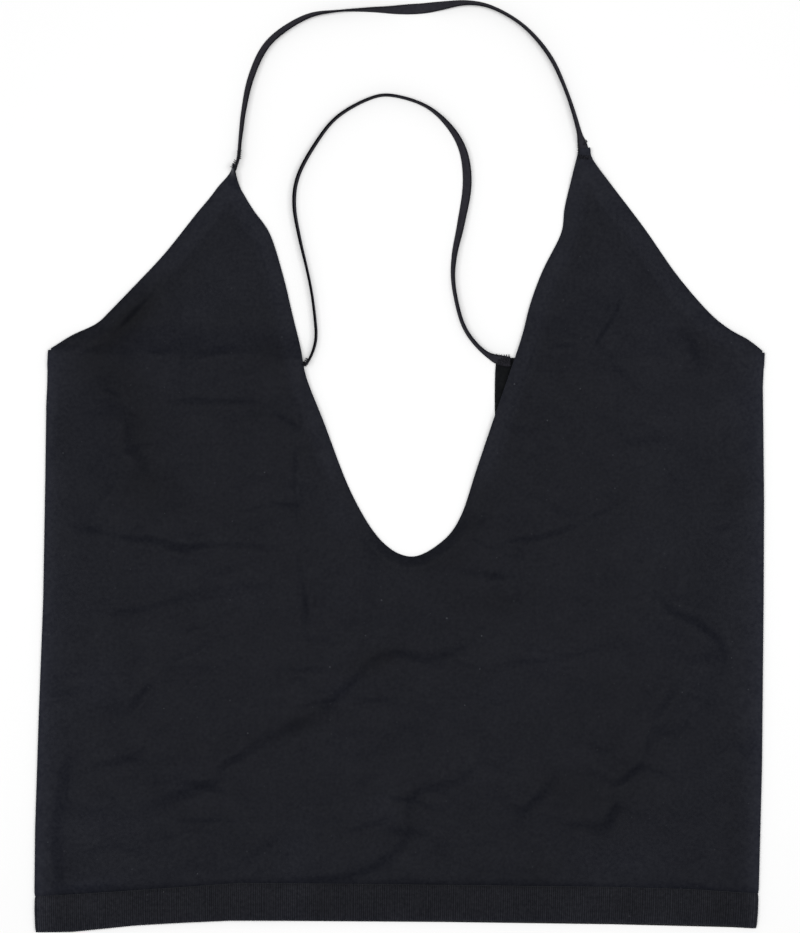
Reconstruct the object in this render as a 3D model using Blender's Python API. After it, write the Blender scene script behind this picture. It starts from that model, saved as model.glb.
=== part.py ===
"""Cropped tank top laid flat, front up: a knitted body tube, its hem band and two elastic straps.

Lengths in the tables are millimetres and the objects are made in metres. +Z is up, +Y runs from
the hem to the straps, +X is the garment's left-to-right as seen from above. The origin lies on
the surface, under the middle of the garment's box.
"""

import math
from collections import namedtuple

import bmesh
import bpy
import numpy as np
from mathutils import Vector
from mathutils.geometry import delaunay_2d_cdt
from mathutils.kdtree import KDTree

MM = 0.001

# Driving dimensions
WALL = 1.0           # cloth of the body tube
BAND_WALL = 1.2      # hem band, knitted double
LAYER_GAP = 0.4      # air between the front and back layers
SEAM_GAP = 0.3       # at the hem line, and between a strap end and its cloth
STRAP_WIDTH = 5.0
STRAP_THICK = 1.1
PUFF = 0.5           # how far the front layer stands off the back between its folds
SIDE_CALM = 18.0     # the front's relief rises over this distance from a side
HEM_CALM = 16.0      # and over this one from the hem line
FOLD_FADE = 0.25     # share of its length over which a fold rises at each end

# How finely the cloth is divided
FRONT_SPACING = 9.3
BACK_SPACING = 17.0
SIDE_ROWS = 18
STRAP_STEP = 3.0
BAND_COLUMNS = 34
FOLD_ANGLES = (50, 0, -50)    # where the cloth turns round a side, in degrees
CLEAR_SHARE = 0.62            # of the spacing, kept clear round the outline's points
CURVE_STEPS = 24              # between two points of a table, before the curve is divided evenly

# Outside the back's edge the front layer comes down to the surface
DROP_START = 9.0
DROP_END = 24.0

# The left front point stands on its edge; the right one lies flat on its strap end
LEFT_TIP_X = -78.8
LEFT_TIP_LEAN = 0.1           # how far it leans to the right for each millimetre up
LEFT_TIP_HALF = 3.2
LEFT_TIP_TURN = 84            # degrees
LEFT_TURN_START = 131.0
LEFT_TURN_END = 141.5
RIGHT_TIP_START = 128.0
RIGHT_TIP_END = 140.0

# Top edges, seen from above: stretches from left to right, each one smooth curve through its
# x, y points and divided into its number of steps.
Stretch = namedtuple("Stretch", "steps points")
FRONT_TOP = {
    "left armhole": Stretch(17, (
        (-168.2, 55.6), (-156.8, 62.6), (-145.4, 68.1), (-137.8, 74.5),
        (-112.0, 102.6), (-88.9, 131.4), (-83.6, 140.5), (-81.2, 148.0))),
    "neckline": Stretch(60, (
        (-75.8, 147.6), (-75.8, 134.3), (-70.7, 122.8), (-62.5, 111.3), (-56.3, 91.1),
        (-47.6, 56.5), (-44.4, 42.0), (-36.6, 22.0), (-23.2, -12.6), (-9.0, -35.6),
        (5.8, -43.6), (20.5, -36.4), (29.6, -24.1), (37.3, -1.1), (46.4, 25.8),
        (58.0, 59.4), (69.0, 94.0), (77.8, 111.3), (81.8, 131.4), (86.2, 152.0))),
    "right armhole": Stretch(17, (
        (91.6, 152.8), (93.7, 145.8), (108.8, 125.7), (133.8, 91.6),
        (148.2, 74.2), (158.4, 65.7), (175.4, 54.3))),
}
BACK_TOP = {
    "left top": Stretch(9, (
        (-168.2, 55.6), (-140.0, 53.3), (-90.0, 53.0), (-46.9, 50.6))),
    "neck": Stretch(32, (
        (-44.0, 48.7), (-46.4, 44.8), (-49.0, 14.0), (-48.2, -24.0), (-43.5, -70.0),
        (-25.0, -83.5), (0.5, -86.0), (30.0, -81.5), (45.5, -64.5), (47.2, -7.0),
        (46.0, 22.0), (46.0, 42.0), (46.6, 51.6))),
    "right top": Stretch(9, (
        (58.0, 52.0), (96.0, 50.5), (127.5, 50.0), (175.4, 54.3))),
}

# Lines from left to right, and sides from the hem up. Columns: x, y.
HEM_LINE = ((-174.3, -206.7), (-133.0, -204.1), (-76.4, -200.2), (16.7, -201.0),
            (100.0, -202.1), (139.0, -203.1), (172.2, -205.3))
FRONT_HEM = ((-174.3, -224.0), (-157.0, -223.7), (-128.3, -220.8), (-105.0, -219.4),
             (-82.2, -218.4), (21.5, -218.3), (102.1, -219.3), (159.7, -220.7), (172.2, -222.3))
BACK_HEM = ((-174.3, -224.0), (-157.0, -223.7), (-128.3, -220.8), (-105.0, -219.4),
            (-82.2, -218.4), (21.5, -219.1), (102.1, -220.2), (159.7, -221.6), (172.2, -222.3))
LEFT_SIDE = ((-174.9, -223.9), (-175.3, -214.2), (-174.9, -175.0), (-173.2, -122.0),
             (-171.0, -64.4), (-170.0, -6.8), (-169.5, 30.0), (-168.2, 55.6))
RIGHT_SIDE = ((171.6, -223.9), (172.4, -214.2), (174.2, -145.1), (175.0, -64.4),
              (175.2, -16.4), (174.6, 38.0), (175.4, 54.3))

# The largest folds of the front. height > 0 is a ridge and < 0 a trough, width is its half-width,
# and bow is how far its middle bends to the left of the way from start to end.
Fold = namedtuple("Fold", "start end bow width height")
FOLDS = (
    Fold((-128, -166), (-60, -128), 3, 8, -0.5),     # long diagonal crease, lower stretch
    Fold((-132, -156), (-62, -118), 3, 9, 1.0),
    Fold((-60, -128), (-8, -91), 2, 8, -0.5),        # its steeper middle
    Fold((-62, -117), (-14, -80), 2, 9, 1.1),
    Fold((-12, -92), (40, -86), 2, 7, -0.5),         # its end, below the neckline
    Fold((-8, -102), (44, -96), 2, 9, 0.9),
    Fold((-46, -197), (2, -178), -5, 8, -0.5),       # S-shaped crease above the hem
    Fold((2, -178), (34, -143), 6, 8, -0.5),
    Fold((-52, -186), (-6, -168), -5, 9, 0.9),
    Fold((-158, -31), (-56, -38), -2, 8, -0.5),      # straight crease under the left arm
    Fold((-156, -22), (-60, -29), -2, 9, 0.9),
    Fold((-140, -70), (-86, -57), 0, 8, -0.5),
    Fold((-140, -60), (-90, -48), 0, 8, 0.7),
    Fold((126, -64), (156, -96), 5, 8, -0.5),        # hook-shaped crease at the right side
    Fold((134, -58), (163, -88), 5, 8, 0.9),
    Fold((136, -100), (112, -150), 0, 9, -0.4),
    Fold((-134, 32), (-114, -12), -3, 8, -0.5),      # under the left armhole
    Fold((-124, 34), (-104, -8), -3, 9, 0.8),
    Fold((-158, -130), (-161, -196), 0, 7, -0.5),    # along the left side
    Fold((-110, 34), (-46, 12), 7, 9, 0.8),
)

# Straps, from end to end. tilt is degrees from lying flat, and rest the height lain on.
Station = namedtuple("Station", "x y tilt rest")
NECK_STRAP = (
    Station(-77.1, 142.4, 94, 0), Station(-76.3, 152.3, 97, 0), Station(-74.8, 169.5, 109, 0),
    Station(-71.1, 186.8, 121, 0), Station(-62.3, 203.4, 125, 0), Station(-45.1, 215.2, 117, 0),
    Station(-29.9, 218.4, 96, 0), Station(-12.7, 219.0, 77, 0), Station(-2.8, 218.9, 55, 0),
    Station(10.1, 219.5, 8, 0), Station(20.7, 220.8, -37, 0), Station(32.2, 222.1, -64, 0),
    Station(44.5, 220.1, -77, 0), Station(59.8, 211.0, -79, 0), Station(72.4, 196.4, -74, 0),
    Station(80.5, 178.6, -77, 0), Station(85.6, 162.3, -68, 0), Station(87.0, 157.3, -58, 0),
    Station(88.0, 153.9, -2.5, 0), Station(88.9, 149.8, 0, 0), Station(89.8, 144.8, 0, 0),
)
BACK_STRAP = (
    Station(-43.5, 48.9, 90, 0), Station(-41.9, 53.2, 89, 0), Station(-40.1, 59.0, 89, 0),
    Station(-39.6, 65.0, 88, 0), Station(-42.0, 82.3, 89, 0), Station(-47.7, 108.2, 84, 0),
    Station(-50.7, 125.5, 80, 0), Station(-48.3, 140.4, 81, 0), Station(-37.6, 158.6, 83, 0),
    Station(-20.0, 173.6, 86, 0), Station(-3.3, 177.9, 87, 0), Station(15.0, 171.6, 83, 0),
    Station(28.8, 155.9, 59, 0), Station(32.7, 137.0, 43, 0), Station(29.2, 115.0, 57, 0),
    Station(25.9, 88.0, 80, 0), Station(29.6, 70.6, 82, 0), Station(34.2, 61.4, 81, 0),
    Station(40.8, 54.6, 78, 0), Station(44.0, 52.3, 66, 1.0), Station(46.6, 51.0, 38, 1.4),
    Station(49.4, 50.2, 0, 1.35), Station(53.2, 50.0, 0, 1.35),
)

# Colours, linear
KNIT_NAVY = (0.0143, 0.0152, 0.0194)
RIB_NAVY = (0.0143, 0.0152, 0.0185)
ELASTIC_NAVY = (0.0194, 0.0203, 0.0232)


def smooth_step(value):
    """0 below 0, 1 above 1, and an even S between."""
    t = np.clip(value, 0.0, 1.0)
    return t * t * (3.0 - 2.0 * t)


def curve(points, steps):
    """steps + 1 rows, evenly spaced by plan length, on a Catmull-Rom curve through the points."""
    knots = np.asarray(points, float)
    knots = np.vstack([2 * knots[0] - knots[1], knots, 2 * knots[-1] - knots[-2]])
    t = np.linspace(0, 1, CURVE_STEPS, endpoint=False)[:, None]
    dense = []
    for a, b, c, d in zip(knots, knots[1:], knots[2:], knots[3:]):
        bend = (c - a) * t + (2 * a - 5 * b + 4 * c - d) * t**2 + (3 * b - a - 3 * c + d) * t**3
        dense.append(b + 0.5 * bend)
    dense = np.vstack(dense + [knots[-2]])
    length = np.append(0, np.cumsum(np.hypot(*np.diff(dense[:, :2], axis=0).T)))
    even = np.linspace(0, length[-1], steps + 1)
    return np.column_stack([np.interp(even, length, column) for column in dense.T])


def top_edge(stretches):
    """The points of a layer's top edge, from its left underarm corner to its right one."""
    runs = []
    for stretch in stretches.values():
        run = curve(stretch.points, stretch.steps)
        joined = runs and np.allclose(runs[-1][-1], run[0])
        runs.append(run[1:] if joined else run)
    return np.vstack(runs)


def on_line(table, x):
    """Points at the given x on a line given as a table."""
    return np.column_stack([x, np.interp(x, *np.asarray(table, float).T)])


def side_x(table, y):
    """The x of a side's outline at the given y."""
    x_column, y_column = np.asarray(table, float).T
    return np.interp(y, y_column, x_column)


def outside_back(points):
    """How far points lie outside the back layer's top edge; 0 where the back is under them."""
    line = top_edge(BACK_TOP)
    a, b = line[:-1], line[1:]
    span = b - a
    px = np.clip(points[:, 0], line[0, 0], line[-1, 0])[:, None]
    py = points[:, 1][:, None]
    t = ((px - a[:, 0]) * span[:, 0] + (py - a[:, 1]) * span[:, 1]) / (span**2).sum(axis=1)
    t = np.clip(t, 0, 1)
    away = np.hypot(px - a[:, 0] - t * span[:, 0], py - a[:, 1] - t * span[:, 1]).min(axis=1)
    crosses = (a[:, 0] <= px) != (b[:, 0] <= px)
    rise = np.where(crosses, (px - a[:, 0]) / np.where(crosses, span[:, 0], 1), 0)
    edges_above = (crosses & (a[:, 1] + rise * span[:, 1] > py)).sum(axis=1)
    return np.where(edges_above % 2 == 1, 0, away)


def fold_middle(fold, t):
    """Points along a fold's middle line, with t from 0 to 1."""
    start, end = np.array(fold.start, float), np.array(fold.end, float)
    way = (end - start) / math.dist(fold.start, fold.end)
    aside = np.array([-way[1], way[0]])
    t = np.asarray(t, float)[:, None]
    return start + (end - start) * t + aside * fold.bow * 4 * t * (1 - t)


def fold_relief(points):
    """Height that the folds add at each point."""
    total = np.zeros(len(points))
    for fold in FOLDS:
        start = np.array(fold.start, float)
        length = math.dist(fold.start, fold.end)
        way = (np.array(fold.end, float) - start) / length
        t = np.clip((points - start) @ way / length, 0, 1)
        off = (points - start) @ np.array([-way[1], way[0]]) - fold.bow * 4 * t * (1 - t)
        fade = smooth_step(t / FOLD_FADE) * smooth_step((1 - t) / FOLD_FADE)
        total += fold.height * np.exp(-((off / fold.width) ** 2)) * fade
    return total


def front_height(points):
    """Middle of the front layer's wall above the surface."""
    covered = 1 - smooth_step((outside_back(points) - DROP_START) / (DROP_END - DROP_START))
    x, y = points.T
    from_side = np.minimum(x - side_x(LEFT_SIDE, y), side_x(RIGHT_SIDE, y) - x)
    from_hem = y - on_line(HEM_LINE, x)[:, 1]
    calm = smooth_step(from_side / SIDE_CALM) * smooth_step(from_hem / HEM_CALM) * covered
    relief = np.maximum(0, PUFF + fold_relief(points)) * calm
    on_strap = smooth_step((y - RIGHT_TIP_START) / (RIGHT_TIP_END - RIGHT_TIP_START)) * (x > 0)
    return (WALL / 2 + covered * (WALL + LAYER_GAP) + relief
            + on_strap * (STRAP_THICK + SEAM_GAP))


def back_height(points):
    """Middle of the back layer's wall, which lies flat on the surface."""
    return np.full(len(points), WALL / 2)


def turn_left_tip(middle, normal):
    """The left point of the front turned up on its edge, its neck side highest."""
    x, y = middle[:, 0], middle[:, 1]
    tip = (y > LEFT_TURN_START) & (x < 0)
    share = smooth_step((y - LEFT_TURN_START) / (LEFT_TURN_END - LEFT_TURN_START))
    turn = np.where(tip, share * math.radians(LEFT_TIP_TURN), 0)
    out = x - LEFT_TIP_X
    rise = np.maximum(0, out + LEFT_TIP_HALF) * np.sin(turn)
    lean = LEFT_TIP_LEAN * np.maximum(0, y - LEFT_TURN_END)
    middle[:, 0] = np.where(tip, LEFT_TIP_X + out * np.cos(turn) + lean, x)
    middle[:, 2] += np.where(tip, rise, 0)
    normal[:, 0] = np.where(tip, -np.sin(turn), normal[:, 0])
    normal[:, 2] = np.where(tip, np.cos(turn), normal[:, 2])


def cloth_sheet(outline, extra, spacing):
    """Plan points and triangles that fill an outline. The outline's points come first."""
    fixed = np.vstack([outline, extra]) if len(extra) else outline
    tree = KDTree(len(fixed))
    for index, (x, y) in enumerate(fixed):
        tree.insert((x, y, 0), index)
    tree.balance()
    points = [tuple(point) for point in fixed]
    low, high = outline.min(axis=0), outline.max(axis=0)
    row_height = spacing * math.sin(math.radians(60))
    for row in range(int((high[1] - low[1]) / row_height) + 1):
        y = low[1] + row * row_height
        for x in np.arange(low[0] + (row % 2) * spacing / 2, high[0], spacing):
            if tree.find((x, y, 0))[2] > CLEAR_SHARE * spacing:
                points.append((x, y))
    loop = list(range(len(outline)))
    made = delaunay_2d_cdt([Vector(point) for point in points], [], [loop], 1, 1e-5)
    sources = {}
    for index, merged in enumerate(made[3]):
        for source in merged:
            sources[source] = index
    used = sorted({corner for triangle in made[2] for corner in triangle})
    order = [sources[index] for index in loop]
    order += [index for index in used if index not in set(order)]
    place = {index: number for number, index in enumerate(order)}
    plan = np.array([made[0][index] for index in order])
    return plan, [[place[corner] for corner in triangle] for triangle in made[2]]


def body_outline(top, inset, spacing):
    """A layer's outline, and the numbers of its points on each of its four edges."""
    left = np.linspace(HEM_LINE[0][1] + SEAM_GAP / 2, top[0, 1], SIDE_ROWS + 1)
    right = np.linspace(HEM_LINE[-1][1] + SEAM_GAP / 2, top[-1, 1], SIDE_ROWS + 1)
    left = np.column_stack([side_x(LEFT_SIDE, left) + inset, left])
    right = np.column_stack([side_x(RIGHT_SIDE, right) - inset, right])
    columns = round((right[0, 0] - left[0, 0]) / spacing)
    hem = on_line(HEM_LINE, np.linspace(left[0, 0], right[0, 0], columns + 1)[1:-1])
    hem = hem + (0, SEAM_GAP / 2)
    parts = [left[:1], hem, right, top[1:-1][::-1], left[:0:-1]]
    outline = np.vstack(parts)
    total = len(outline)
    right_start = 1 + len(hem)
    right_end = right_start + SIDE_ROWS
    left_start = total - SIDE_ROWS
    edges = {
        "hem": list(range(0, right_start + 1)),
        "right": list(range(right_start, right_end + 1)),
        "top": list(range(right_end, left_start + 1)),
        "left": [0] + list(range(total - 1, left_start - 1, -1)),
    }
    return outline, edges


def add_object(name, mesh_data, colour, roughness):
    """A closed solid with its own material, from a bmesh in millimetres."""
    bmesh.ops.scale(mesh_data, vec=(MM, MM, MM), verts=mesh_data.verts)
    bmesh.ops.recalc_face_normals(mesh_data, faces=mesh_data.faces)
    mesh = bpy.data.meshes.new(name)
    mesh_data.to_mesh(mesh)
    mesh_data.free()
    mesh.shade_smooth()
    mesh.set_sharp_from_angle(angle=math.radians(50))
    material = bpy.data.materials.new(name)
    material.use_nodes = True
    shader = material.node_tree.nodes["Principled BSDF"]
    shader.inputs["Base Color"].default_value = (*colour, 1)
    shader.inputs["Roughness"].default_value = roughness
    shader.inputs["Metallic"].default_value = 0.0
    mesh.materials.append(material)
    made = bpy.data.objects.new(name, mesh)
    bpy.context.scene.collection.objects.link(made)
    return made


def add_skin(mesh_data, layers, wall, offset_sign):
    """One skin of the tube, outside or inside: both layers and the turns round the two sides.

    Returns each layer's vertices and, for each side, its turn as rows from front to back.
    """
    skins = []
    for middle, normal, triangles, _ in layers:
        skin = [mesh_data.verts.new(point) for point in middle + normal * offset_sign * wall / 2]
        for triangle in triangles:
            mesh_data.faces.new([skin[corner] for corner in triangle])
        skins.append(skin)
    turns = {}
    for side, outward in (("left", -1), ("right", 1)):
        rows = []
        for front_at, back_at in zip(layers[0][3][side], layers[1][3][side]):
            front_middle, back_middle = layers[0][0][front_at], layers[1][0][back_at]
            centre = (front_middle + back_middle) / 2
            radius = (front_middle[2] - back_middle[2]) / 2 + offset_sign * wall / 2
            row = [skins[0][front_at]]
            for angle in np.radians(FOLD_ANGLES):
                reach = np.array([outward * math.cos(angle), 0, math.sin(angle)]) * radius
                row.append(mesh_data.verts.new(centre + reach))
            rows.append(row + [skins[1][back_at]])
        for low, high in zip(rows, rows[1:]):
            for a, b, c, d in zip(low, low[1:], high[1:], high):
                mesh_data.faces.new((a, b, c, d))
        turns[side] = rows
    return skins, turns


def add_rim(mesh_data, outer, inner):
    """The cut edge between the outer and the inner skin along one run of vertices."""
    for a, b, c, d in zip(outer, outer[1:], inner[1:], inner):
        mesh_data.faces.new((a, b, c, d))


def add_tube(name, layers, wall, colour):
    """A flat-lying tube of cloth, open at its hem and at its top."""
    mesh_data = bmesh.new()
    (outer, outer_turns), (inner, inner_turns) = (
        add_skin(mesh_data, layers, wall, sign) for sign in (1, -1))
    for number, (_, _, _, edges) in enumerate(layers):
        for run in ("hem", "top"):
            add_rim(mesh_data, [outer[number][at] for at in edges[run]],
                    [inner[number][at] for at in edges[run]])
    for side in ("left", "right"):
        for row in (0, -1):
            add_rim(mesh_data, outer_turns[side][row], inner_turns[side][row])
    return add_object(name, mesh_data, colour, roughness=0.85)


def layer_data(plan, triangles, edges, height, facing):
    """Middle points, normals, triangles and edges of one layer of a tube."""
    middle = np.column_stack([plan, height(plan)])
    normal = np.zeros_like(middle)
    normal[:, 2] = facing
    return [middle, normal, triangles, edges]


def add_body():
    """The knitted body: front with its V neckline and points, back with its low, deep neckline."""
    inset = (WALL + LAYER_GAP) / 2 + WALL / 2
    creases = np.vstack([fold_middle(fold, np.linspace(0.1, 0.9, 7)) for fold in FOLDS
                         if fold.height < 0])
    layers = []
    for stretches, extra, spacing, height, facing in (
            (FRONT_TOP, creases, FRONT_SPACING, front_height, 1),
            (BACK_TOP, (), BACK_SPACING, back_height, -1)):
        top = top_edge(stretches)
        top[0, 0] += inset
        top[-1, 0] -= inset
        outline, edges = body_outline(top, inset, spacing)
        plan, triangles = cloth_sheet(outline, extra, spacing)
        layers.append(layer_data(plan, triangles, edges, height, facing))
    turn_left_tip(layers[0][0], layers[0][1])
    return add_tube("body_tube", layers, WALL, KNIT_NAVY)


def add_hem_band():
    """The ribbed band below the hem line, a short flat tube of its own."""
    inset = (BAND_WALL + LAYER_GAP) / 2 + BAND_WALL / 2
    heights = (BAND_WALL * 1.5 + LAYER_GAP, BAND_WALL / 2)
    even = np.linspace(0, 1, BAND_COLUMNS + 1)
    layers = []
    for bottom, height, facing in ((FRONT_HEM, heights[0], 1), (BACK_HEM, heights[1], -1)):
        rows = []
        for table, shift in ((bottom, 0), (HEM_LINE, -SEAM_GAP / 2)):
            ends_y = table[0][1] + shift, table[-1][1] + shift
            left = side_x(LEFT_SIDE, ends_y[0]) + inset
            right = side_x(RIGHT_SIDE, ends_y[1]) - inset
            rows.append(on_line(table, left + (right - left) * even) + (0, shift))
        plan = np.vstack(rows)
        above = BAND_COLUMNS + 1
        triangles = []
        for at in range(BAND_COLUMNS):
            triangles.append((at, at + 1, at + 1 + above))
            triangles.append((at, at + 1 + above, at + above))
        edges = {
            "hem": list(range(above)),
            "top": list(range(above, 2 * above)),
            "left": [0, above],
            "right": [BAND_COLUMNS, 2 * above - 1],
        }
        level = np.full(len(plan), height)
        layers.append(layer_data(plan, triangles, edges, lambda _, level=level: level, facing))
    return add_tube("hem_band", layers, BAND_WALL, RIB_NAVY)


def add_strap(name, stations):
    """A flat elastic swept along its stations, twisting between its edge and its flat side."""
    plan = np.array([(station.x, station.y) for station in stations])
    steps = round(float(np.hypot(*np.diff(plan, axis=0).T).sum()) / STRAP_STEP)
    path = curve(stations, steps)
    ahead = np.gradient(path[:, :2], axis=0)
    ahead /= np.linalg.norm(ahead, axis=1)[:, None]
    tilt = np.radians(path[:, 2])
    lift = (STRAP_WIDTH * abs(np.sin(tilt)) + STRAP_THICK * abs(np.cos(tilt))) / 2
    centre = np.column_stack([path[:, :2], np.maximum(path[:, 3], 0) + lift])
    aside = np.column_stack([-ahead[:, 1], ahead[:, 0], np.zeros(len(path))])
    up = np.array([0.0, 0.0, 1.0])
    width = aside * np.cos(tilt)[:, None] + up * np.sin(tilt)[:, None]
    thick = up * np.cos(tilt)[:, None] - aside * np.sin(tilt)[:, None]
    mesh_data = bmesh.new()
    rails = []
    for a, b in ((1, 1), (-1, 1), (-1, -1), (1, -1)):
        corner = centre + width * (a * STRAP_WIDTH / 2) + thick * (b * STRAP_THICK / 2)
        rails.append([mesh_data.verts.new(point) for point in corner])
    for one, two in zip(rails, rails[1:] + rails[:1]):
        for a, b, c, d in zip(one, one[1:], two[1:], two):
            mesh_data.faces.new((a, b, c, d))
    for end in (0, -1):
        mesh_data.faces.new([rail[end] for rail in rails])
    return add_object(name, mesh_data, ELASTIC_NAVY, roughness=0.7)


def main():
    for old in list(bpy.data.objects):
        bpy.data.objects.remove(old, do_unlink=True)
    add_body()
    add_hem_band()
    add_strap("neck_strap", NECK_STRAP)
    add_strap("back_strap", BACK_STRAP)


main()
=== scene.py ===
# %% [markdown]
# # A seamless knitted top, laid flat
#
# The real top comes off a round knitting machine as one tube, so it has no side seams. The tube
# is cut to a deep neckline and two points, the cut edges are turned in, a ribbed band finishes
# the hem, and two narrow elastic straps are tacked on. This lesson builds the same pieces in the
# same order: body, band, straps, tacks, and then the yarn that they are made of.
#
# All sizes in the tables are millimetres. The meshes are made in metres, because the frame that
# the pieces ride on is in metres.

import math
from collections import namedtuple
from functools import partial

import bmesh
import bpy
import numpy as np
from mathutils import Matrix, Vector
from mathutils.geometry import delaunay_2d_cdt
from mathutils.kdtree import KDTree


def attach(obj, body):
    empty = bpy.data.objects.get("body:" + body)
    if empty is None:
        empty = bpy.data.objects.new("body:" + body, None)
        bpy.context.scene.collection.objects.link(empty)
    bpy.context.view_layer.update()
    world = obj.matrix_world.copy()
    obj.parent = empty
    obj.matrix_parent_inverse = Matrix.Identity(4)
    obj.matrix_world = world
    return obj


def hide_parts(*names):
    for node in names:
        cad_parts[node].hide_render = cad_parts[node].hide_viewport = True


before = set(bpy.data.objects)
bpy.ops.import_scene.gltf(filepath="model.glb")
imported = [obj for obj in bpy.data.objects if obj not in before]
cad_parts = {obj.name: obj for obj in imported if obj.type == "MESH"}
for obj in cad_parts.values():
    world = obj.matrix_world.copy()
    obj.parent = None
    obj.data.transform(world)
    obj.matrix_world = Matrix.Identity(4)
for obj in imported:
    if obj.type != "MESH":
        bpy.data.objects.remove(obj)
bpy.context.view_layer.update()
MM = 0.001

# %% [markdown]
# ## Camera, table and light
#
# A top laid on a table is looked at from straight above. A long lens from a good distance keeps
# the sides upright, as in a catalogue. The picture's long side is its height, and the sensor
# width belongs to the long side, so the distance follows from the height that has to show.

# %% Camera
VIEW_HEIGHT = 447.84      # what the picture shows from its bottom to its top
VIEW_CENTRE = (0.36, -0.34)
VIEW_LEVEL = 2.0          # height at which that size is exact
LENS = 110.0
SENSOR = 36.0

scene = bpy.context.scene


def link_object(name, data):
    """A new object in the scene."""
    made = bpy.data.objects.new(name, data)
    scene.collection.objects.link(made)
    return made


camera_data = bpy.data.cameras.new("camera")
camera_data.lens = LENS
camera_data.sensor_width = SENSOR
camera = link_object("camera", camera_data)
distance = VIEW_HEIGHT * LENS / SENSOR
camera.location = (VIEW_CENTRE[0] * MM, VIEW_CENTRE[1] * MM, (distance + VIEW_LEVEL) * MM)
scene.camera = camera
print(f"camera {distance:.0f} mm above the cloth")

# %% [markdown]
# Near-black cloth shows its folds mostly by what little it mirrors. The sky here is a dim, even
# white, so that nothing goes quite dark, and two large soft panels hang side by side straight over
# the table. Cloth that lies flat mirrors them to the camera, and a slope of ten degrees or so
# already looks past them, whichever way it leans. So every crease draws itself as a dark line.

# %% Table and light
SKY = 0.3
PANELS = {"left_panel": -0.34, "right_panel": 0.34}    # how far to the side each hangs, in metres
PANEL_BACK, PANEL_HEIGHT = 0.04, 1.6
PANEL_WIDTH, PANEL_LENGTH = 0.6, 1.2
PANEL_POWER = 12.0     # watts
TABLE_HALF = 4.0       # in metres, so that it fills every view
TABLE_TOP = -0.0002    # a hair below the cloth


def set_inputs(tree, node, inputs):
    """Sets a node's inputs, each to a number, a colour or the socket that feeds it."""
    for key, value in inputs.items():
        if isinstance(value, bpy.types.NodeSocket):
            tree.links.new(value, node.inputs[key])
        else:
            node.inputs[key].default_value = value


def new_material(name, finish):
    """A material whose shader has that finish: the material, its tree and its shader."""
    material = bpy.data.materials.new(name)
    material.use_nodes = True
    tree = material.node_tree
    shader = tree.nodes["Principled BSDF"]
    set_inputs(tree, shader, finish)
    return material, tree, shader


world = bpy.data.worlds.new("studio")
world.use_nodes = True
set_inputs(world.node_tree, world.node_tree.nodes["Background"],
           {"Color": (1.0, 1.0, 1.0, 1), "Strength": SKY})
scene.world = world
scene.view_settings.view_transform = "Standard"

for name, aside in PANELS.items():
    light = bpy.data.lights.new(name, "AREA")
    light.shape = "RECTANGLE"
    light.size, light.size_y = PANEL_WIDTH, PANEL_LENGTH
    light.energy = PANEL_POWER
    lamp = link_object(name, light)
    lamp.location = (aside, PANEL_BACK, PANEL_HEIGHT)
    lamp.rotation_euler = (-lamp.location).to_track_quat("-Z", "Y").to_euler()

table_mesh = bpy.data.meshes.new("table")
table_mesh.from_pydata([(x * TABLE_HALF, y * TABLE_HALF, TABLE_TOP)
                        for x, y in ((-1, -1), (1, -1), (1, 1), (-1, 1))], [], [(0, 1, 2, 3)])
table = link_object("table", table_mesh)
table_mesh.materials.append(new_material("table_white", {
    "Base Color": (0.93, 0.93, 0.93, 1), "Roughness": 0.9, "Specular IOR Level": 0.0})[0])
print("panels", list(PANELS))

# %% [markdown]
# ## Sizes of the cloth
#
# The tube lies on the table as two layers of cloth with a hair of air between them. What the
# layers are made of, and how fine the mesh is that stands for them, comes first.

# %% Cloth sizes
WALL = 0.95            # the knit
BAND_WALL = 1.2        # the hem band, knitted double
LAYER_GAP = 0.4        # air between the layers
PUFF = 0.9             # how far the front stands off the back between its creases
FLAT_WIDTH = 346.0     # of the body and the band, from side to side
STRAP_WIDTH = 5.0
STRAP_THICK = 1.1
SEAM_GAP = 0.06        # between the body and the band, down in the seam's groove

FRONT_SPACING = 1.4    # between the points of the mesh
BACK_SPACING = 2.6
INNER_SPACING = 4.0
TOP_STEP = 1.5         # along the top edges
HEM_STEP_X = 2.0       # along the hem line
SIDE_ROWS = 128        # up each side
FOLD_ANGLES = (65, 40, 13, -13, -40, -65)   # where the cloth turns round a side, in degrees

# %% [markdown]
# A few helpers serve every piece: an even S-shaped step, a smooth curve through the points of a
# table, and a soft, repeatable unevenness. The unevenness is a grid of seeded numbers with a
# smooth blend between them, which is quick for thousands of points at once.


# %% Helpers for curves and unevenness
PER_SPAN = 24          # points worked out between two points of a table
GRID = 64              # seeded numbers each way, before they repeat


def smooth_step(value):
    """0 below 0, 1 above 1, and an even S between."""
    t = np.clip(value, 0.0, 1.0)
    return t * t * (3.0 - 2.0 * t)


def plan_steps(line):
    """How far, in plan, each point of a line lies from the one before it."""
    return np.hypot(*np.diff(np.asarray(line, float)[:, :2], axis=0).T)


def running(steps):
    """The length run so far at each point of a line, from the lengths of its steps."""
    return np.append(0, np.cumsum(steps))


def curve(points, steps):
    """steps + 1 rows, evenly spaced by plan length, on a Catmull-Rom curve through the points."""
    knots = np.asarray(points, float)
    knots = np.vstack([2 * knots[0] - knots[1], knots, 2 * knots[-1] - knots[-2]])
    t = np.linspace(0, 1, PER_SPAN, endpoint=False)[:, None]
    dense = []
    for a, b, c, d in zip(knots, knots[1:], knots[2:], knots[3:]):
        bend = (c - a) * t + (2 * a - 5 * b + 4 * c - d) * t**2 + (3 * b - a - 3 * c + d) * t**3
        dense.append(b + 0.5 * bend)
    dense = np.vstack(dense + [knots[-2]])
    length = running(plan_steps(dense))
    even = np.linspace(0, length[-1], steps + 1)
    return np.column_stack([np.interp(even, length, column) for column in dense.T])


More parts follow.
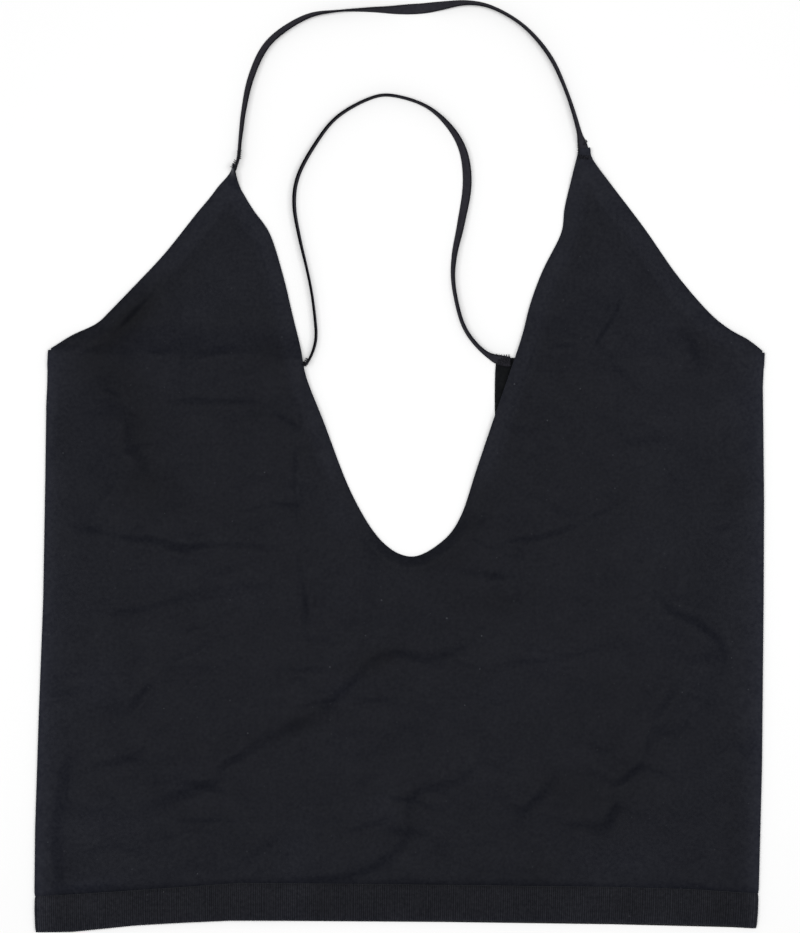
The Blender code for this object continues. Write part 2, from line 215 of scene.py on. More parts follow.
def unevenness(points, size, seed, turn=0.0, stretch=1.0):
    """A soft number from -1 to 1 at each point, in patches of that size, stretched along turn."""
    angle = math.radians(turn)
    along = points @ np.array([math.cos(angle), math.sin(angle)]) / (size * stretch)
    aside = points @ np.array([-math.sin(angle), math.cos(angle)]) / size
    table = np.random.default_rng(seed).uniform(-1, 1, (GRID, GRID))
    i, j = np.floor(along).astype(int), np.floor(aside).astype(int)
    u, v = smooth_step(along - i), smooth_step(aside - j)
    low, high = (table[i % GRID, k % GRID] * (1 - u) + table[(i + 1) % GRID, k % GRID] * u
                 for k in (j, j + 1))
    return low * (1 - v) + high * v


# %% [markdown]
# ## The cut of the body
#
# The front is cut to a deep neckline between two points, and the back to a low straight top with
# its own deep neckline. Each top edge is listed as stretches that meet at corners, so a corner
# stays crisp while the cloth between corners runs in one smooth line.

# %% Tables for the outline
FRONT_TOP = {
    "left armhole": (
        (-168.4, 55.6), (-156.8, 62.8), (-145.6, 68.2), (-138.6, 74.5), (-124.5, 89.2),
        (-112.1, 102.6), (-97.6, 120.9), (-89.0, 131.4), (-83.6, 140.5), (-81.6, 145.2)),
    "neckline": (
        (-77.3, 144.8), (-77.5, 139.0), (-76.5, 134.0), (-74.5, 130.2), (-70.0, 122.8),
        (-62.0, 111.1), (-55.7, 91.1), (-51.1, 71.9), (-47.3, 56.5), (-44.4, 42.0),
        (-36.6, 22.0), (-23.2, -12.6), (-9.0, -35.6),
        (5.8, -43.6), (20.5, -36.4), (29.6, -24.1), (37.3, -1.1), (46.4, 25.8),
        (58.0, 59.4), (62.9, 77.7), (69.0, 94.0), (77.6, 111.3), (79.3, 123.0),
        (81.1, 131.4), (86.2, 152.0)),
    "right armhole": (
        (91.6, 152.8), (93.7, 145.8), (109.0, 125.7), (119.1, 112.2), (133.4, 91.6),
        (148.2, 74.2), (158.0, 65.9), (168.2, 60.0), (175.4, 54.3)),
}
BACK_TOP = {
    "left top": ((-168.2, 55.6), (-140.0, 53.3), (-90.0, 53.0), (-46.9, 50.6)),
    "neck": (
        (-44.0, 48.7), (-46.4, 44.8), (-49.0, 14.0), (-48.2, -24.0), (-43.5, -70.0),
        (-25.0, -83.5), (0.5, -86.0), (30.0, -81.5), (45.5, -64.5), (47.2, -7.0),
        (46.0, 22.0), (46.0, 42.0), (46.6, 51.6)),
    "right top": ((58.0, 52.0), (96.0, 50.5), (127.5, 50.0), (175.4, 54.3)),
}
HEM_LINE = ((-174.3, -206.7), (-133.0, -204.1), (-76.4, -200.2), (16.7, -201.0),
            (100.0, -202.1), (139.0, -203.1), (172.2, -205.3))
FRONT_HEM = ((-174.3, -224.0), (-157.0, -223.7), (-128.3, -220.8), (-105.0, -219.4),
             (-82.2, -218.4), (21.5, -218.3), (102.1, -219.3), (159.7, -220.7), (172.2, -222.3))
BACK_HEM = FRONT_HEM[:5] + ((21.5, -219.1), (102.1, -220.2), (159.7, -221.6)) + FRONT_HEM[-1:]
LEFT_SIDE = ((-174.9, -223.9), (-175.3, -214.2), (-174.9, -175.0), (-173.2, -122.0),
             (-171.0, -64.4), (-170.0, -6.8), (-169.5, 30.0), (-168.2, 55.6))
RIGHT_SIDE = ((171.6, -223.9), (172.4, -214.2), (174.2, -145.1), (175.0, -64.4),
              (175.2, -16.4), (174.6, 38.0), (175.4, 54.3))


# %% Top edges and distances
def top_edge(stretches, step):
    """The points of a layer's top edge, from its left underarm corner to its right one."""
    runs = []
    for points in stretches.values():
        run = curve(points, round(plan_steps(points).sum() / step))
        joined = runs and np.allclose(runs[-1][-1], run[0])
        runs.append(run[1:] if joined else run)
    return np.vstack(runs)


def line_y(table, x):
    """The y of a line, given as a table, at the given x."""
    return np.interp(x, *np.asarray(table, float).T)


def side_x(table, y):
    """The x of a side's outline at the given y."""
    x_column, y_column = np.asarray(table, float).T
    return np.interp(y, y_column, x_column)


def from_sides(x, y):
    """How far in from the nearer side points lie."""
    return np.minimum(x - side_x(LEFT_SIDE, y), side_x(RIGHT_SIDE, y) - x)


def nearest(points, line):
    """For each point, how far the line is, how far along it in mm, and the side it lies on."""
    a, span = line[:-1], np.diff(line, axis=0)
    lengths = np.hypot(*span.T)
    before = running(lengths[:-1])
    best = np.full(len(points), 1e9)
    along, side = np.zeros(len(points)), np.zeros(len(points))
    for start, way, length, done in zip(a, span, lengths, before):
        off = points - start
        t = np.clip(off @ way / length**2, 0, 1)
        gap = np.hypot(*(off - t[:, None] * way).T)
        closer = gap < best
        best = np.where(closer, gap, best)
        along = np.where(closer, done + t * length, along)
        side = np.where(closer, np.sign(way[0] * off[:, 1] - way[1] * off[:, 0]), side)
    return best, along, side


BACK_EDGE = top_edge(BACK_TOP, 4.0)
FRONT_NECK = curve(FRONT_TOP["neckline"], 160)
LEFT_ARM, RIGHT_ARM = (curve(FRONT_TOP[name], 50) for name in ("left armhole", "right armhole"))


def outside_back(points):
    """How far points lie outside the back layer's top edge; 0 where the back is under them."""
    away, _, side = nearest(points, BACK_EDGE)
    return np.where(side < 0, 0, away)


print(f"neckline {plan_steps(FRONT_NECK).sum():.0f} mm round")

# %% [markdown]
# ## The creases
#
# A thin knit that has been folded and laid out again keeps a few sharp creases and a great many
# faint ones. A crease is a low ridge with one steep side and one gentle side, and it is the steep
# side that shows as a line. Each crease that matters is a row here: the half-width of its steep
# side, its height, and the points it runs through. Its gentle side lies to the left of the way
# from the first point to the last, or to the right where a last number, -1, says so. Creases
# could be sculpted, but a table keeps every one of them where it can be read and changed.

# %% Creases of the front and the back
Crease = namedtuple("Crease", "width depth points hand", defaults=(1,))
FRONT_CREASES = [Crease(*row) for row in (
    # under the left armhole
    (4.0, 3.6, ((-146, 56), (-133, 67), (-109, 91))),
    (2.4, 1.1, ((-148, 39), (-139, 36), (-128, 29))),
    (4.4, 1.5, ((-126, 36), (-129, 24), (-130, 14), (-125, 3), (-118, -8), (-111, -19)), -1),
    (9.0, 1.7, ((-129, 46), (-126, 15), (-118, -18)), -1),
    (7.0, 0.55, ((-106, 60), (-84, 63), (-54, 67))),
    (2.8, 0.95, ((-116, 31), (-95, 31), (-74, 31), (-59, 25), (-45, 16), (-37, 4))),
    (2.6, 1.15, ((-49, 20), (-49.5, -32))),
    (2.6, 1.2, ((-45.6, -34), (-45.2, -84))),
    (2.2, 0.3, ((-87, 6), (-60, 6))),
    # across the chest, from the left side
    (3.0, 1.0, ((-168, -29), (-142, -32), (-123, -35.5), (-106, -38), (-84, -38.6), (-46, -38))),
    (2.4, 0.4, ((-143, -16), (-118, -26), (-89, -28))),
    (2.4, 0.6, ((-81, -24), (-60, -18), (-45, -24))),
    (3.4, 0.8, ((-163, -71), (-137, -70), (-111, -66), (-84, -58))),
    (2.4, 0.45, ((-118, -81), (-86, -76))),
    (2.0, 0.4, ((-52, -82), (-24, -85))),
    # the long diagonal and what runs beside it
    (4.2, 0.9, ((-134, -166), (-116, -161), (-99, -155.5), (-84, -145.5), (-64, -130.5), (-45, -123),
                (-30, -117))),
    (3.8, 1.1, ((-43, -124), (-34, -116), (-21, -101), (-9.5, -92), (17, -91), (45, -84))),
    (2.4, 0.5, ((-27, -116), (-10, -112), (6, -114))),
    (2.4, 0.5, ((-52, -103), (-36, -99))),
    (3.0, 0.7, ((-158, -146), (-134, -142), (-95, -139))),
    (2.6, 0.75, ((-137, -144), (-111, -130))),
    (2.6, 0.5, ((-140, -134), (-104, -124))),
    (3.0, 1.2, ((-137, -123), (-111, -97))),
    (2.4, 0.5, ((-172, -111), (-146, -107))),
    (5.4, 2.1, ((-164.8, -223), (-164.5, -204), (-164, -172), (-160, -147), (-143, -132)), -1),
    (3.4, 0.7, ((-16, -120), (-18, -150))),
    # above the hem
    (3.4, 0.95, ((-60, -208), (-49.5, -205.3), (-37.5, -201.3), (-19.5, -194.8), (-1.5, -185.5),
                 (4.5, -176), (6, -162))),
    (3.0, 0.8, ((3, -180), (5.5, -162), (11, -155.5), (19, -153), (31, -149), (46, -137))),
    (2.6, 0.85, ((53, -173), (66, -159), (79, -144))),
    (2.2, 1.4, ((97, -157.5), (120, -140.5))),
    (3.4, 1.5, ((96, -180), (101, -169), (109, -155))),
    (3.4, 0.4, ((77, -176.5), (96, -172))),
    # the right side
    (3.2, 1.8, ((119, -56.5), (128, -67), (134, -70.5), (141.5, -74), (148, -80), (155, -88),
                (158.5, -104)), -1),
    (2.8, 0.4, ((158, -98), (132, -97))),
    (3.6, 2.1, ((140, -96), (128.5, -111.5), (117, -130))),
    (3.0, 0.7, ((120, -118), (118, -148)), -1),
    (3.4, 1.0, ((95, -117), (93, -145))),
    (2.4, 0.5, ((134, -104), (151, -117))),
    (5.0, 1.3, ((156, -126), (173, -147))),
    (2.4, 0.6, ((142, -32), (172, -28))),
    (2.2, 0.5, ((132, 12), (100, 10))),
    (3.6, 1.7, ((141, 68), (142, 53), (148, 43)), -1),
    (5.0, 1.6, ((148, 46), (155, 36), (157.5, 18), (156, 4), (164, -3), (169, -14))),
    (1.7, 1.5, ((91, 53), (98, 64), (110, 86))),
    (1.8, 0.5, ((101, 50), (128, 50))),
    # beside and below the neckline, on the right
    (2.4, 0.7, ((14, -49), (40, -52), (62, -53))),
    (2.4, 0.75, ((40, -39), (68, -33.5), (90, -26), (109, -15))),
    (3.0, 0.5, ((46, -64), (58, -67))),
    (1.6, 0.35, ((34, -98), (80, -91), (108, -84))),
    (2.8, 1.0, ((69, 70), (93, 89))),
    (2.6, 1.1, ((66, 55), (92, 60))),
    (2.4, 0.5, ((55, -2), (77, 12))),
    (2.0, 0.3, ((93, 135), (88, 118), (84, 104))),
    (1.8, 0.5, ((96, 125), (111, 106), (123, 92))),
    (2.6, 0.8, ((-73, 121), (-71, 110))),
)]
BACK_CREASES = [Crease(*row) for row in (
    (3.0, 0.8, ((-150, 12), (-96, 2), (-62, 8))),
    (3.2, 0.9, ((-160, -78), (-118, -92), (-70, -88), (-30, -104))),
    (3.4, 0.9, ((-92, -186), (-50, -164), (-12, -158), (30, -130))),
    (2.6, 0.7, ((66, -182), (92, -150), (98, -128))),
    (3.0, 0.8, ((160, 20), (120, 2), (84, -2), (62, -16)), -1),
    (2.6, 0.6, ((150, -58), (112, -74), (70, -80))),
    (3.0, 0.6, ((158, -110), (134, -132), (126, -160))),
    (2.4, 0.5, ((-148, -136), (-110, -144))),
    (2.4, 0.6, ((110, 38), (82, 22))),
)]


# %% Relief of a set of creases
GENTLE = 4.0           # how many times wider the gentle side is than the steep one
FOOT_SHARE = 0.3       # how deep the trough at the foot is, as a share of the height
CREST_AT = 0.8         # where the crest lies beside the line, in half-widths
FOOT_AT = -1.3         # and the trough
STRAY = 0.2            # how far a crease strays from its line, in half-widths


def crease_relief(points, creases, first_seed):
    """Height that creases add at each point: a steep side, a gentle side, a trough at the foot."""
    total = np.zeros(len(points))
    for number, crease in enumerate(creases):
        line = curve(crease.points, 8 * (len(crease.points) - 1))
        length = plan_steps(line).sum()
        gentle = min(GENTLE, 0.3 * length / crease.width)
        reach = 2.5 * gentle * crease.width
        low, high = line.min(axis=0) - reach, line.max(axis=0) + reach
        near = np.flatnonzero(((points > low) & (points < high)).all(axis=1))
        if not len(near):
            continue
        away, along, side = nearest(points[near], line)
        wander = STRAY * crease.width * np.sin(along / 6.0 + 1.7 * number)
        off = (away * side + wander) * crease.hand / crease.width
        phase = 2.3 * (first_seed + number)
        uneven = 1 + 0.14 * np.sin(along / 9.0 + phase) + 0.08 * np.sin(along / 3.7 + 2 * phase)
        share = along / length
        end = min(0.5, max(0.2, 1.5 * gentle * crease.width / length))
        fade = smooth_step(share / end) * smooth_step((1 - share) / end)
        off_crest = off - CREST_AT
        ridge = np.exp(-np.where(off_crest > 0, off_crest / gentle, off_crest) ** 2)
        foot = FOOT_SHARE * np.exp(-(((off - FOOT_AT) / FOOT_AT) ** 2))
        total[near] += crease.depth * (ridge - foot) * fade * uneven
    return total


# %% [markdown]
# Between the creases that matter lie a great many faint ones. They follow the pull of the cloth:
# up to the right on the left half, and up to the left on the right half. These are scattered from
# a fixed seed, with uneven lengths, depths and spacing.


# %% Faint creases
def faint_creases(count, seed):
    """Short, shallow creases scattered over the front, turned the way the cloth is pulled."""
    random = np.random.default_rng(seed)
    made = []
    while len(made) < count:
        x, y = random.uniform(-160, 160), random.uniform(-196, 110)
        turn = np.radians(random.normal(17 if x < 0 else -24, 14))
        half = random.uniform(7, 24)
        bow = random.uniform(-0.12, 0.12) * half
        way = np.array([math.cos(turn), math.sin(turn)])
        middle = np.array([x, y]) + bow * np.array([-way[1], way[0]])
        points = ((x, y) - half * way, middle, (x, y) + half * way)
        made.append(Crease(random.uniform(1.4, 2.9), random.uniform(0.14, 0.46), points,
                           random.choice((-1, 1))))
    return tuple(made)


FAINT_CREASES = faint_creases(150, 7)
print("creases", len(FRONT_CREASES), "by hand and", len(FAINT_CREASES), "faint ones")

# %% [markdown]
# ## How high the cloth lies
#
# The back lies on the table, lifted a little along its own creases. The front lies on the back,
# and outside the back's edge it comes down to the table: gently above the back's straight top,
# and more steeply inside its neckline. That step is what shows the hidden back through the front.
# The back's straight top is turned in too, so the front stands highest along it. The turned-in
# edges of the neckline and the armholes are double cloth, a little higher than the rest, with a
# soft lip where they roll over, and the bottom of the neckline leans down towards its edge.

# %% Sizes of the relief
NECK_HEM = 7.4         # turned-in width
ARM_HEM = 8.4
HEM_STEP = 0.3         # how much higher the double cloth lies
LIP = 1.5              # the last stretch before the edge, which rolls down
LIP_DROP = 0.4
HEM_GROOVE = 0.25      # the groove at a turned-in edge's inner side
SEAM_DIP = 0.45        # how far the cloth dips into the seam above the hem band
SIDE_ROLL = 50.0       # how far in the front comes down towards its sides
HEM_ROLL = 46.0        # and towards the hem band
CREASE_CALM = 9.0      # the creases run on to this near the sides
NEAR_DROP = 0.2        # share of the step that falls right at the hidden back's edge
NECK_DROP = 26.0       # how far outside the back's neckline the front reaches the table
LEFT_DROP = 16.0       # and above its straight top, on the left
RIGHT_DROP = 45.0      # and above it on the right
BACK_HEM_RISE = 0.65   # the back's turned-in top edge, under the front
NECK_LEAN = 2.1        # how far the bottom of the neckline leans down
LEAN_WIDTH = 5.0       # over this width
STRAP_AIR = 0.3        # between the right point and the strap under it
RIGHT_TIP_START, RIGHT_TIP_END = 128.0, 140.0      # where the right point rises onto its strap
LEFT_TURN_START, LEFT_TURN_END = 129.5, 145.0      # where the left point turns up on its edge
LEFT_TIP_TURN = 84     # how far it turns, in degrees
LEFT_TIP_X = -79.5     # the line that it turns about
LEFT_TIP_HALF = 3.2    # how far left of that line it still rises
LEFT_TIP_LEAN = 0.1    # and how it leans to the right, farther up
Swell = namedtuple("Swell", "part height size seed turn stretch")
SWELLS = (
    Swell("all", 0.6, 46.0, 1, 10, 1.3),
    Swell("all", 0.5, 17.0, 2, 12, 1.8),
    Swell("left", 0.2, 5.2, 3, 17, 5.0),      # streaks that follow the pull of the cloth
    Swell("right", 0.2, 5.2, 4, -24, 4.0),
    Swell("all", 0.07, 2.6, 6, 5, 1.5),
)


# %% Height of the back, and what it lifts
def back_height(points):
    """Middle of the back layer's wall above the table."""
    x, y = points.T
    from_side, from_hem = from_sides(x, y), y - line_y(HEM_LINE, x)
    calm = smooth_step(from_side / 22.0) * smooth_step(from_hem / 18.0)
    lifted = np.maximum(0, -crease_relief(points, BACK_CREASES, 40) - 0.05)
    ripple = np.maximum(0, 0.25 * unevenness(points, 26.0, 5, 20, 2.0))
    return WALL / 2 + (lifted + ripple) * calm


def covered_share(points):
    """1 where the back lies under the front, and less outside its edge, down to 0."""
    x, y = points.T
    outside = outside_back(points)
    above_top = smooth_step((y - 38.0) / 14.0)
    top_drop = LEFT_DROP + (RIGHT_DROP - LEFT_DROP) * smooth_step((x - 20.0) / 40.0)
    length = NECK_DROP + (top_drop - NECK_DROP) * above_top
    at_left = smooth_step((-20.0 - x) / 20.0) * smooth_step((y + 66.0) / 14.0)
    near = NEAR_DROP * (0.15 + 0.85 * at_left) * (1 - 0.8 * above_top)
    t = np.clip(outside / length, 0, 1)
    ramp = smooth_step(t) + 0.5 * above_top * (1 - (1 - t)**2 - smooth_step(t))
    return 1 - near * smooth_step(outside / 2.2) - (1 - near) * ramp


def back_hem_rise(points):
    """How much the back's own turned-in top lifts the front, left of the neckline."""
    x, y = points.T
    return BACK_HEM_RISE * smooth_step((y - 37.0) / 13.0) * smooth_step((10.0 - x) / 40.0)


# %% Height of the front
def turned_hem(points, line, width):
    """Height of a turned-in edge: double cloth, a groove at its inner edge, a lip at the fold."""
    away, along, _ = nearest(points, line)
    away = away + 0.35 * np.sin(along / 9.0)
    double = HEM_STEP * smooth_step((width + 0.8 - away) / 1.6)
    groove = -HEM_GROOVE * np.exp(-(((away - width - 0.9) / 0.9) ** 2))
    lip = -LIP_DROP * (1 - np.clip(away / LIP, 0, 1)) ** 2
    return double + groove + lip


def front_relief(points):
    """What the front's swells and streaks add above its base height."""
    to_right = smooth_step((points[:, 0] + 40) / 80)
    shares = {"all": 1, "left": 1 - to_right, "right": to_right}
    relief = PUFF
    for swell in SWELLS:
        uneven = unevenness(points, swell.size, swell.seed, swell.turn, swell.stretch)
        relief = relief + shares[swell.part] * swell.height * uneven
    return relief


def neck_lean(points):
    """A low swell round the bottom of the neckline, which falls towards the edge."""
    away = nearest(points, FRONT_NECK)[0]
    low = smooth_step((-20.0 - points[:, 1]) / 14.0) * smooth_step((points[:, 0] + 20.0) / 12.0)
    beyond = np.maximum(away - LEAN_WIDTH, 0)
    return NECK_LEAN * low * np.clip(away / LEAN_WIDTH, 0, 1) * np.exp(-beyond / 24.0)


def front_height(points):
    """Middle of the front layer's wall above the table."""
    x, y = points.T
    covered = covered_share(points)
    from_side, from_hem = from_sides(x, y), y - line_y(HEM_LINE, x)
    calm = np.where(y < 60, smooth_step((from_side + 0.5) / SIDE_ROLL), 1)
    calm *= smooth_step(from_hem / HEM_ROLL)
    near_edge = smooth_step(np.minimum(from_side / CREASE_CALM, from_hem / 4.0))
    tip_calm = 1 - smooth_step((y - 112.0) / 22.0)
    creases = crease_relief(points, FRONT_CREASES, 0) + crease_relief(points, FAINT_CREASES, 100)
    creases = 0.5 * (creases + 0.6 + np.sqrt((creases + 0.6)**2 + 0.05)) - 0.6
    relief = front_relief(points) * calm + creases * near_edge
    relief = 0.5 * (relief + np.sqrt(relief**2 + 0.05))
    relief *= (0.35 + 0.65 * covered) * (0.25 + 0.75 * tip_calm)
    plain = 1 - 0.75 * smooth_step((-20.0 - y) / 14.0)
    edges = (turned_hem(points, FRONT_NECK, NECK_HEM) * plain
             + turned_hem(points, LEFT_ARM, ARM_HEM) + turned_hem(points, RIGHT_ARM, ARM_HEM))
    edges *= 0.4 + 0.6 * tip_calm
    seam = -SEAM_DIP * np.exp(-((from_hem / 1.1) ** 2))
    on_strap = smooth_step((y - RIGHT_TIP_START) / (RIGHT_TIP_END - RIGHT_TIP_START)) * (x > 0)
    below = back_height(points) + WALL / 2 + LAYER_GAP + back_hem_rise(points)
    height = WALL / 2 + covered * below + relief + edges + seam + neck_lean(points)
    return np.maximum(height, WALL / 2) + on_strap * (STRAP_THICK + STRAP_AIR)


# %% [markdown]
# ## Filling an outline with an even mesh
#
# Cloth bends the same in every direction, so a mesh of near-equal triangles suits it better than
# rows and columns, which crowd together under a steep neckline. A Delaunay triangulation of the
# outline's points and a staggered grid gives that.


# %% Filling an outline
def cloth_sheet(outline, extra, spacing):
    """Plan points and triangles that fill an outline. The outline's points come first."""
    fixed = np.vstack([outline, extra]) if len(extra) else outline
    tree = KDTree(len(fixed))
    for index, (x, y) in enumerate(fixed):
        tree.insert((x, y, 0), index)
    tree.balance()
    points = [tuple(point) for point in fixed]
    low, high = outline.min(axis=0), outline.max(axis=0)
    row_height = spacing * math.sin(math.radians(60))
    for row in range(int((high[1] - low[1]) / row_height) + 1):
        y = low[1] + row * row_height
        for x in np.arange(low[0] + (row % 2) * spacing / 2, high[0], spacing):
            if tree.find((x, y, 0))[2] > 0.62 * spacing:
                points.append((x, y))
    loop = list(range(len(outline)))
    made = delaunay_2d_cdt([Vector(point) for point in points], [], [loop], 1, 1e-5)
    sources = {}
    for index, merged in enumerate(made[3]):
        for source in merged:
            sources[source] = index
    used = sorted({corner for triangle in made[2] for corner in triangle})
    order = [sources[index] for index in loop]
    first = set(order)
    order += [index for index in used if index not in first]
    place = {index: number for number, index in enumerate(order)}
    plan = np.array([made[0][index] for index in order])
    return plan, [[place[corner] for corner in triangle] for triangle in made[2]]


def body_outline(top, inset, spacing):
    """A layer's outline, and the numbers of its points on each of its four edges."""
    left_y, right_y = (np.linspace(HEM_LINE[end][1] + SEAM_GAP / 2, top[end, 1], SIDE_ROWS + 1)
                       for end in (0, -1))
    left = np.column_stack([side_x(LEFT_SIDE, left_y) + inset, left_y])
    right = np.column_stack([side_x(RIGHT_SIDE, right_y) - inset, right_y])
    columns = round((right[0, 0] - left[0, 0]) / spacing)
    hem_x = np.linspace(left[0, 0], right[0, 0], columns + 1)[1:-1]
    hem = np.column_stack([hem_x, line_y(HEM_LINE, hem_x) + SEAM_GAP / 2])
    outline = np.vstack([left[:1], hem, right, top[1:-1][::-1], left[:0:-1]])
    total = len(outline)
    right_start = 1 + len(hem)
    right_end = right_start + SIDE_ROWS
    left_start = total - SIDE_ROWS
    edges = {
        "hem": list(range(0, right_start + 1)),
        "right": list(range(right_start, right_end + 1)),
        "top": list(range(right_end, left_start + 1)),
        "left": [0] + list(range(total - 1, left_start - 1, -1)),
    }
    return outline, edges


def unit_ways(line):
    """The way that a line runs at each of its points, one long."""
    ahead = np.gradient(line, axis=0)
    return ahead / np.linalg.norm(ahead, axis=1)[:, None]


def row_beside(line, distance):
    """A row of points beside a line, on its right, where the cloth of the front lies."""
    ahead = unit_ways(line)
    return (line + np.column_stack([ahead[:, 1], -ahead[:, 0]]) * distance)[2:-2]


# %% [markdown]
# ## From two layers to one tube
#
# A maker's tube has no edge at its sides, so the mesh has none either: an outer and an inner skin
# run round each side in a small half circle and meet in a narrow rim along the cut edges. The
# result is one closed mesh. Solidify could add the wall, but it would have to guess at the rims.


# %% The turned-up left point
def turn_left_tip(middle, normal):
    """The left point of the front turned up on its edge, its neck side highest."""
    x, y = middle[:, 0], middle[:, 1]
    tip = (y > LEFT_TURN_START) & (x < 0)
    share = smooth_step((y - LEFT_TURN_START) / (LEFT_TURN_END - LEFT_TURN_START))
    turn = np.where(tip, share * math.radians(LEFT_TIP_TURN), 0)
    out = x - LEFT_TIP_X
    rise = np.maximum(0, out + LEFT_TIP_HALF) * np.sin(turn)
    lean = LEFT_TIP_LEAN * np.maximum(0, y - LEFT_TURN_END)
    middle[:, 0] = np.where(tip, LEFT_TIP_X + out * np.cos(turn) + lean, x)
    middle[:, 2] += np.where(tip, rise, 0)
    normal[:, 0] = np.where(tip, -np.sin(turn), normal[:, 0])
    normal[:, 2] = np.where(tip, np.cos(turn), normal[:, 2])


# %% Skins of the tube
Layer = namedtuple("Layer", "middle normal triangles edges")


def make_layer(plan, triangles, edges, height, facing):
    """One layer of a tube: its middle points, the way its outside faces, and its mesh."""
    middle = np.column_stack([plan, height(plan)])
    normal = np.zeros_like(middle)
    normal[:, 2] = facing
    return Layer(middle, normal, triangles, edges)


def join_rows(mesh_data, one, two):
    """Four-sided faces between two rows of vertices."""
    for corners in zip(one, one[1:], two[1:], two):
        mesh_data.faces.new(corners)


def add_skin(mesh_data, layers, wall, sign):
    """One skin of the tube: sign 1 is the outside and -1 the inside."""
    skins = []
    for layer in layers:
        skin = [mesh_data.verts.new(point)
                for point in layer.middle + layer.normal * (sign * wall / 2)]
        for triangle in layer.triangles:
            mesh_data.faces.new([skin[corner] for corner in triangle])
        skins.append(skin)
    turns = {}
    for side, outward in (("left", -1), ("right", 1)):
        rows = []
        for front_at, back_at in zip(layers[0].edges[side], layers[1].edges[side]):
            front_middle, back_middle = layers[0].middle[front_at], layers[1].middle[back_at]
            centre = (front_middle + back_middle) / 2
            radius = (front_middle[2] - back_middle[2]) / 2 + sign * wall / 2
            row = [skins[0][front_at]]
            for angle in np.radians(FOLD_ANGLES):
                reach = np.array([outward * math.cos(angle), 0, math.sin(angle)]) * radius
                row.append(mesh_data.verts.new(centre + reach))
            rows.append(row + [skins[1][back_at]])
        for low, high in zip(rows, rows[1:]):
            join_rows(mesh_data, low, high)
        turns[side] = rows
    return skins, turns


# %% Finishing a mesh
SHARP_ANGLE = 60       # a fold sharper than this, in degrees, shows as an edge


def finish_mesh(name, mesh_data):
    """A mesh object in metres from a bmesh in millimetres, with its faces pointing outwards."""
    bmesh.ops.scale(mesh_data, vec=(MM, MM, MM), verts=mesh_data.verts)
    bmesh.ops.recalc_face_normals(mesh_data, faces=mesh_data.faces)
    mesh = bpy.data.meshes.new(name)
    mesh_data.to_mesh(mesh)
    mesh_data.free()
    mesh.shade_smooth()
    mesh.set_sharp_from_angle(angle=math.radians(SHARP_ANGLE))
    print(f"{name}: {sum(len(face.vertices) - 2 for face in mesh.polygons)} triangles")
    return link_object(name, mesh)


# %% Body
INSET = (WALL + LAYER_GAP) / 2 + WALL / 2
LIP_ROW = 0.8          # one more row of points, this far in from the neckline, for its lip


def outer_and_inner(stretches, extra, spacing, height, facing):
    """A layer's fine outer mesh and its coarser inner one, which share their outline."""
    top = top_edge(stretches, TOP_STEP)
    top[0, 0] += INSET
    top[-1, 0] -= INSET
    outline, edges = body_outline(top, INSET, HEM_STEP_X)
    return [make_layer(*cloth_sheet(outline, more, size), edges, height, facing)
            for more, size in ((extra, spacing), ((), INNER_SPACING))]


lip_row = row_beside(curve(FRONT_TOP["neckline"], 280), LIP_ROW)
front_outer, front_inner = outer_and_inner(FRONT_TOP, lip_row, FRONT_SPACING, front_height, 1)
back_outer, back_inner = outer_and_inner(BACK_TOP, (), BACK_SPACING, back_height, -1)
for layer in (front_outer, front_inner):
    turn_left_tip(layer.middle, layer.normal)

mesh_data = bmesh.new()
outer, outer_turns = add_skin(mesh_data, (front_outer, back_outer), WALL, 1)
outer_count = len(mesh_data.verts)
inner, inner_turns = add_skin(mesh_data, (front_inner, back_inner), WALL, -1)
inner_count = len(mesh_data.verts) - outer_count
for outer_skin, inner_skin, layer in zip(outer, inner, (front_outer, back_outer)):
    for run in ("hem", "top"):
        join_rows(mesh_data, *([skin[at] for at in layer.edges[run]]
                               for skin in (outer_skin, inner_skin)))
for side in ("left", "right"):
    for row in (0, -1):
        join_rows(mesh_data, outer_turns[side][row], inner_turns[side][row])
body = finish_mesh("body_knit", mesh_data)

# %% [markdown]
# Some of the shading needs to know which side of the cloth it is on. The inner face of a knit is
# the duller one, so the inner skin carries a mark that the material reads. A second mark is
# painted light and shade, a factor on the yarn's colour: painted light along the side folds, the
# turned-in edges and the band's bottom, painted shade in the seam, under the front's edge and round
# the back strap's end, and a few soft patches of painted light and shade.


# %% Marks
def mark_points(made, name, values):
    """Stores a number at every point of a mesh, for materials and trees to read."""
    made.data.attributes.new(name, "FLOAT", "POINT").data.foreach_set(
        "value", np.asarray(values, np.float32))


def mark_inside(made, first_inner, last_inner):
    """A point attribute that is 1 on the inside of a tube and 0 outside."""
    values = np.zeros(len(made.data.vertices))
    values[first_inner:last_inner] = 1
    mark_points(made, "inside", values)


# %% Painted light and shade on the yarn
FOLD_LIGHT = 1.0       # painted light on a side fold, as a share of the yarn's own colour
FOLD_REACH = 6.0       # and how far in from the side that goes, in mm
FOLD_CORE = 0.9        # the fold itself, which is evenly light
SIDE_LIGHT = 0.16      # a weaker painted light that goes farther in
SIDE_REACH = 30.0
HEM_LIGHT = 0.36       # painted light along the turned-in edges
LIT_HEMS = (           # each with its width, and the height above which it is light
    (FRONT_NECK, NECK_HEM, -14.0), (LEFT_ARM, ARM_HEM, 84.0), (RIGHT_ARM, ARM_HEM, 40.0))
BOTTOM_LIGHT = 0.45    # painted light along the roll at the bottom of the hem band
BOTTOM_REACH = 2.5
SEAM_SHADE = 0.45      # painted shade in the seam's groove: how much darker the band is close under the hem line
SEAM_REACH = 0.8
EDGE_PAINTED_SHADOW = 0.5       # painted shadow: how much darker the inner face is close under the front's edge
EDGE_REACH = 4.0
STRAP_PAINTED_SHADOW = 0.48     # painted shadow on the inner face round the right end of the back strap
STRAP_END = (50.6, 50.3)
STRAP_REACH = 12.0
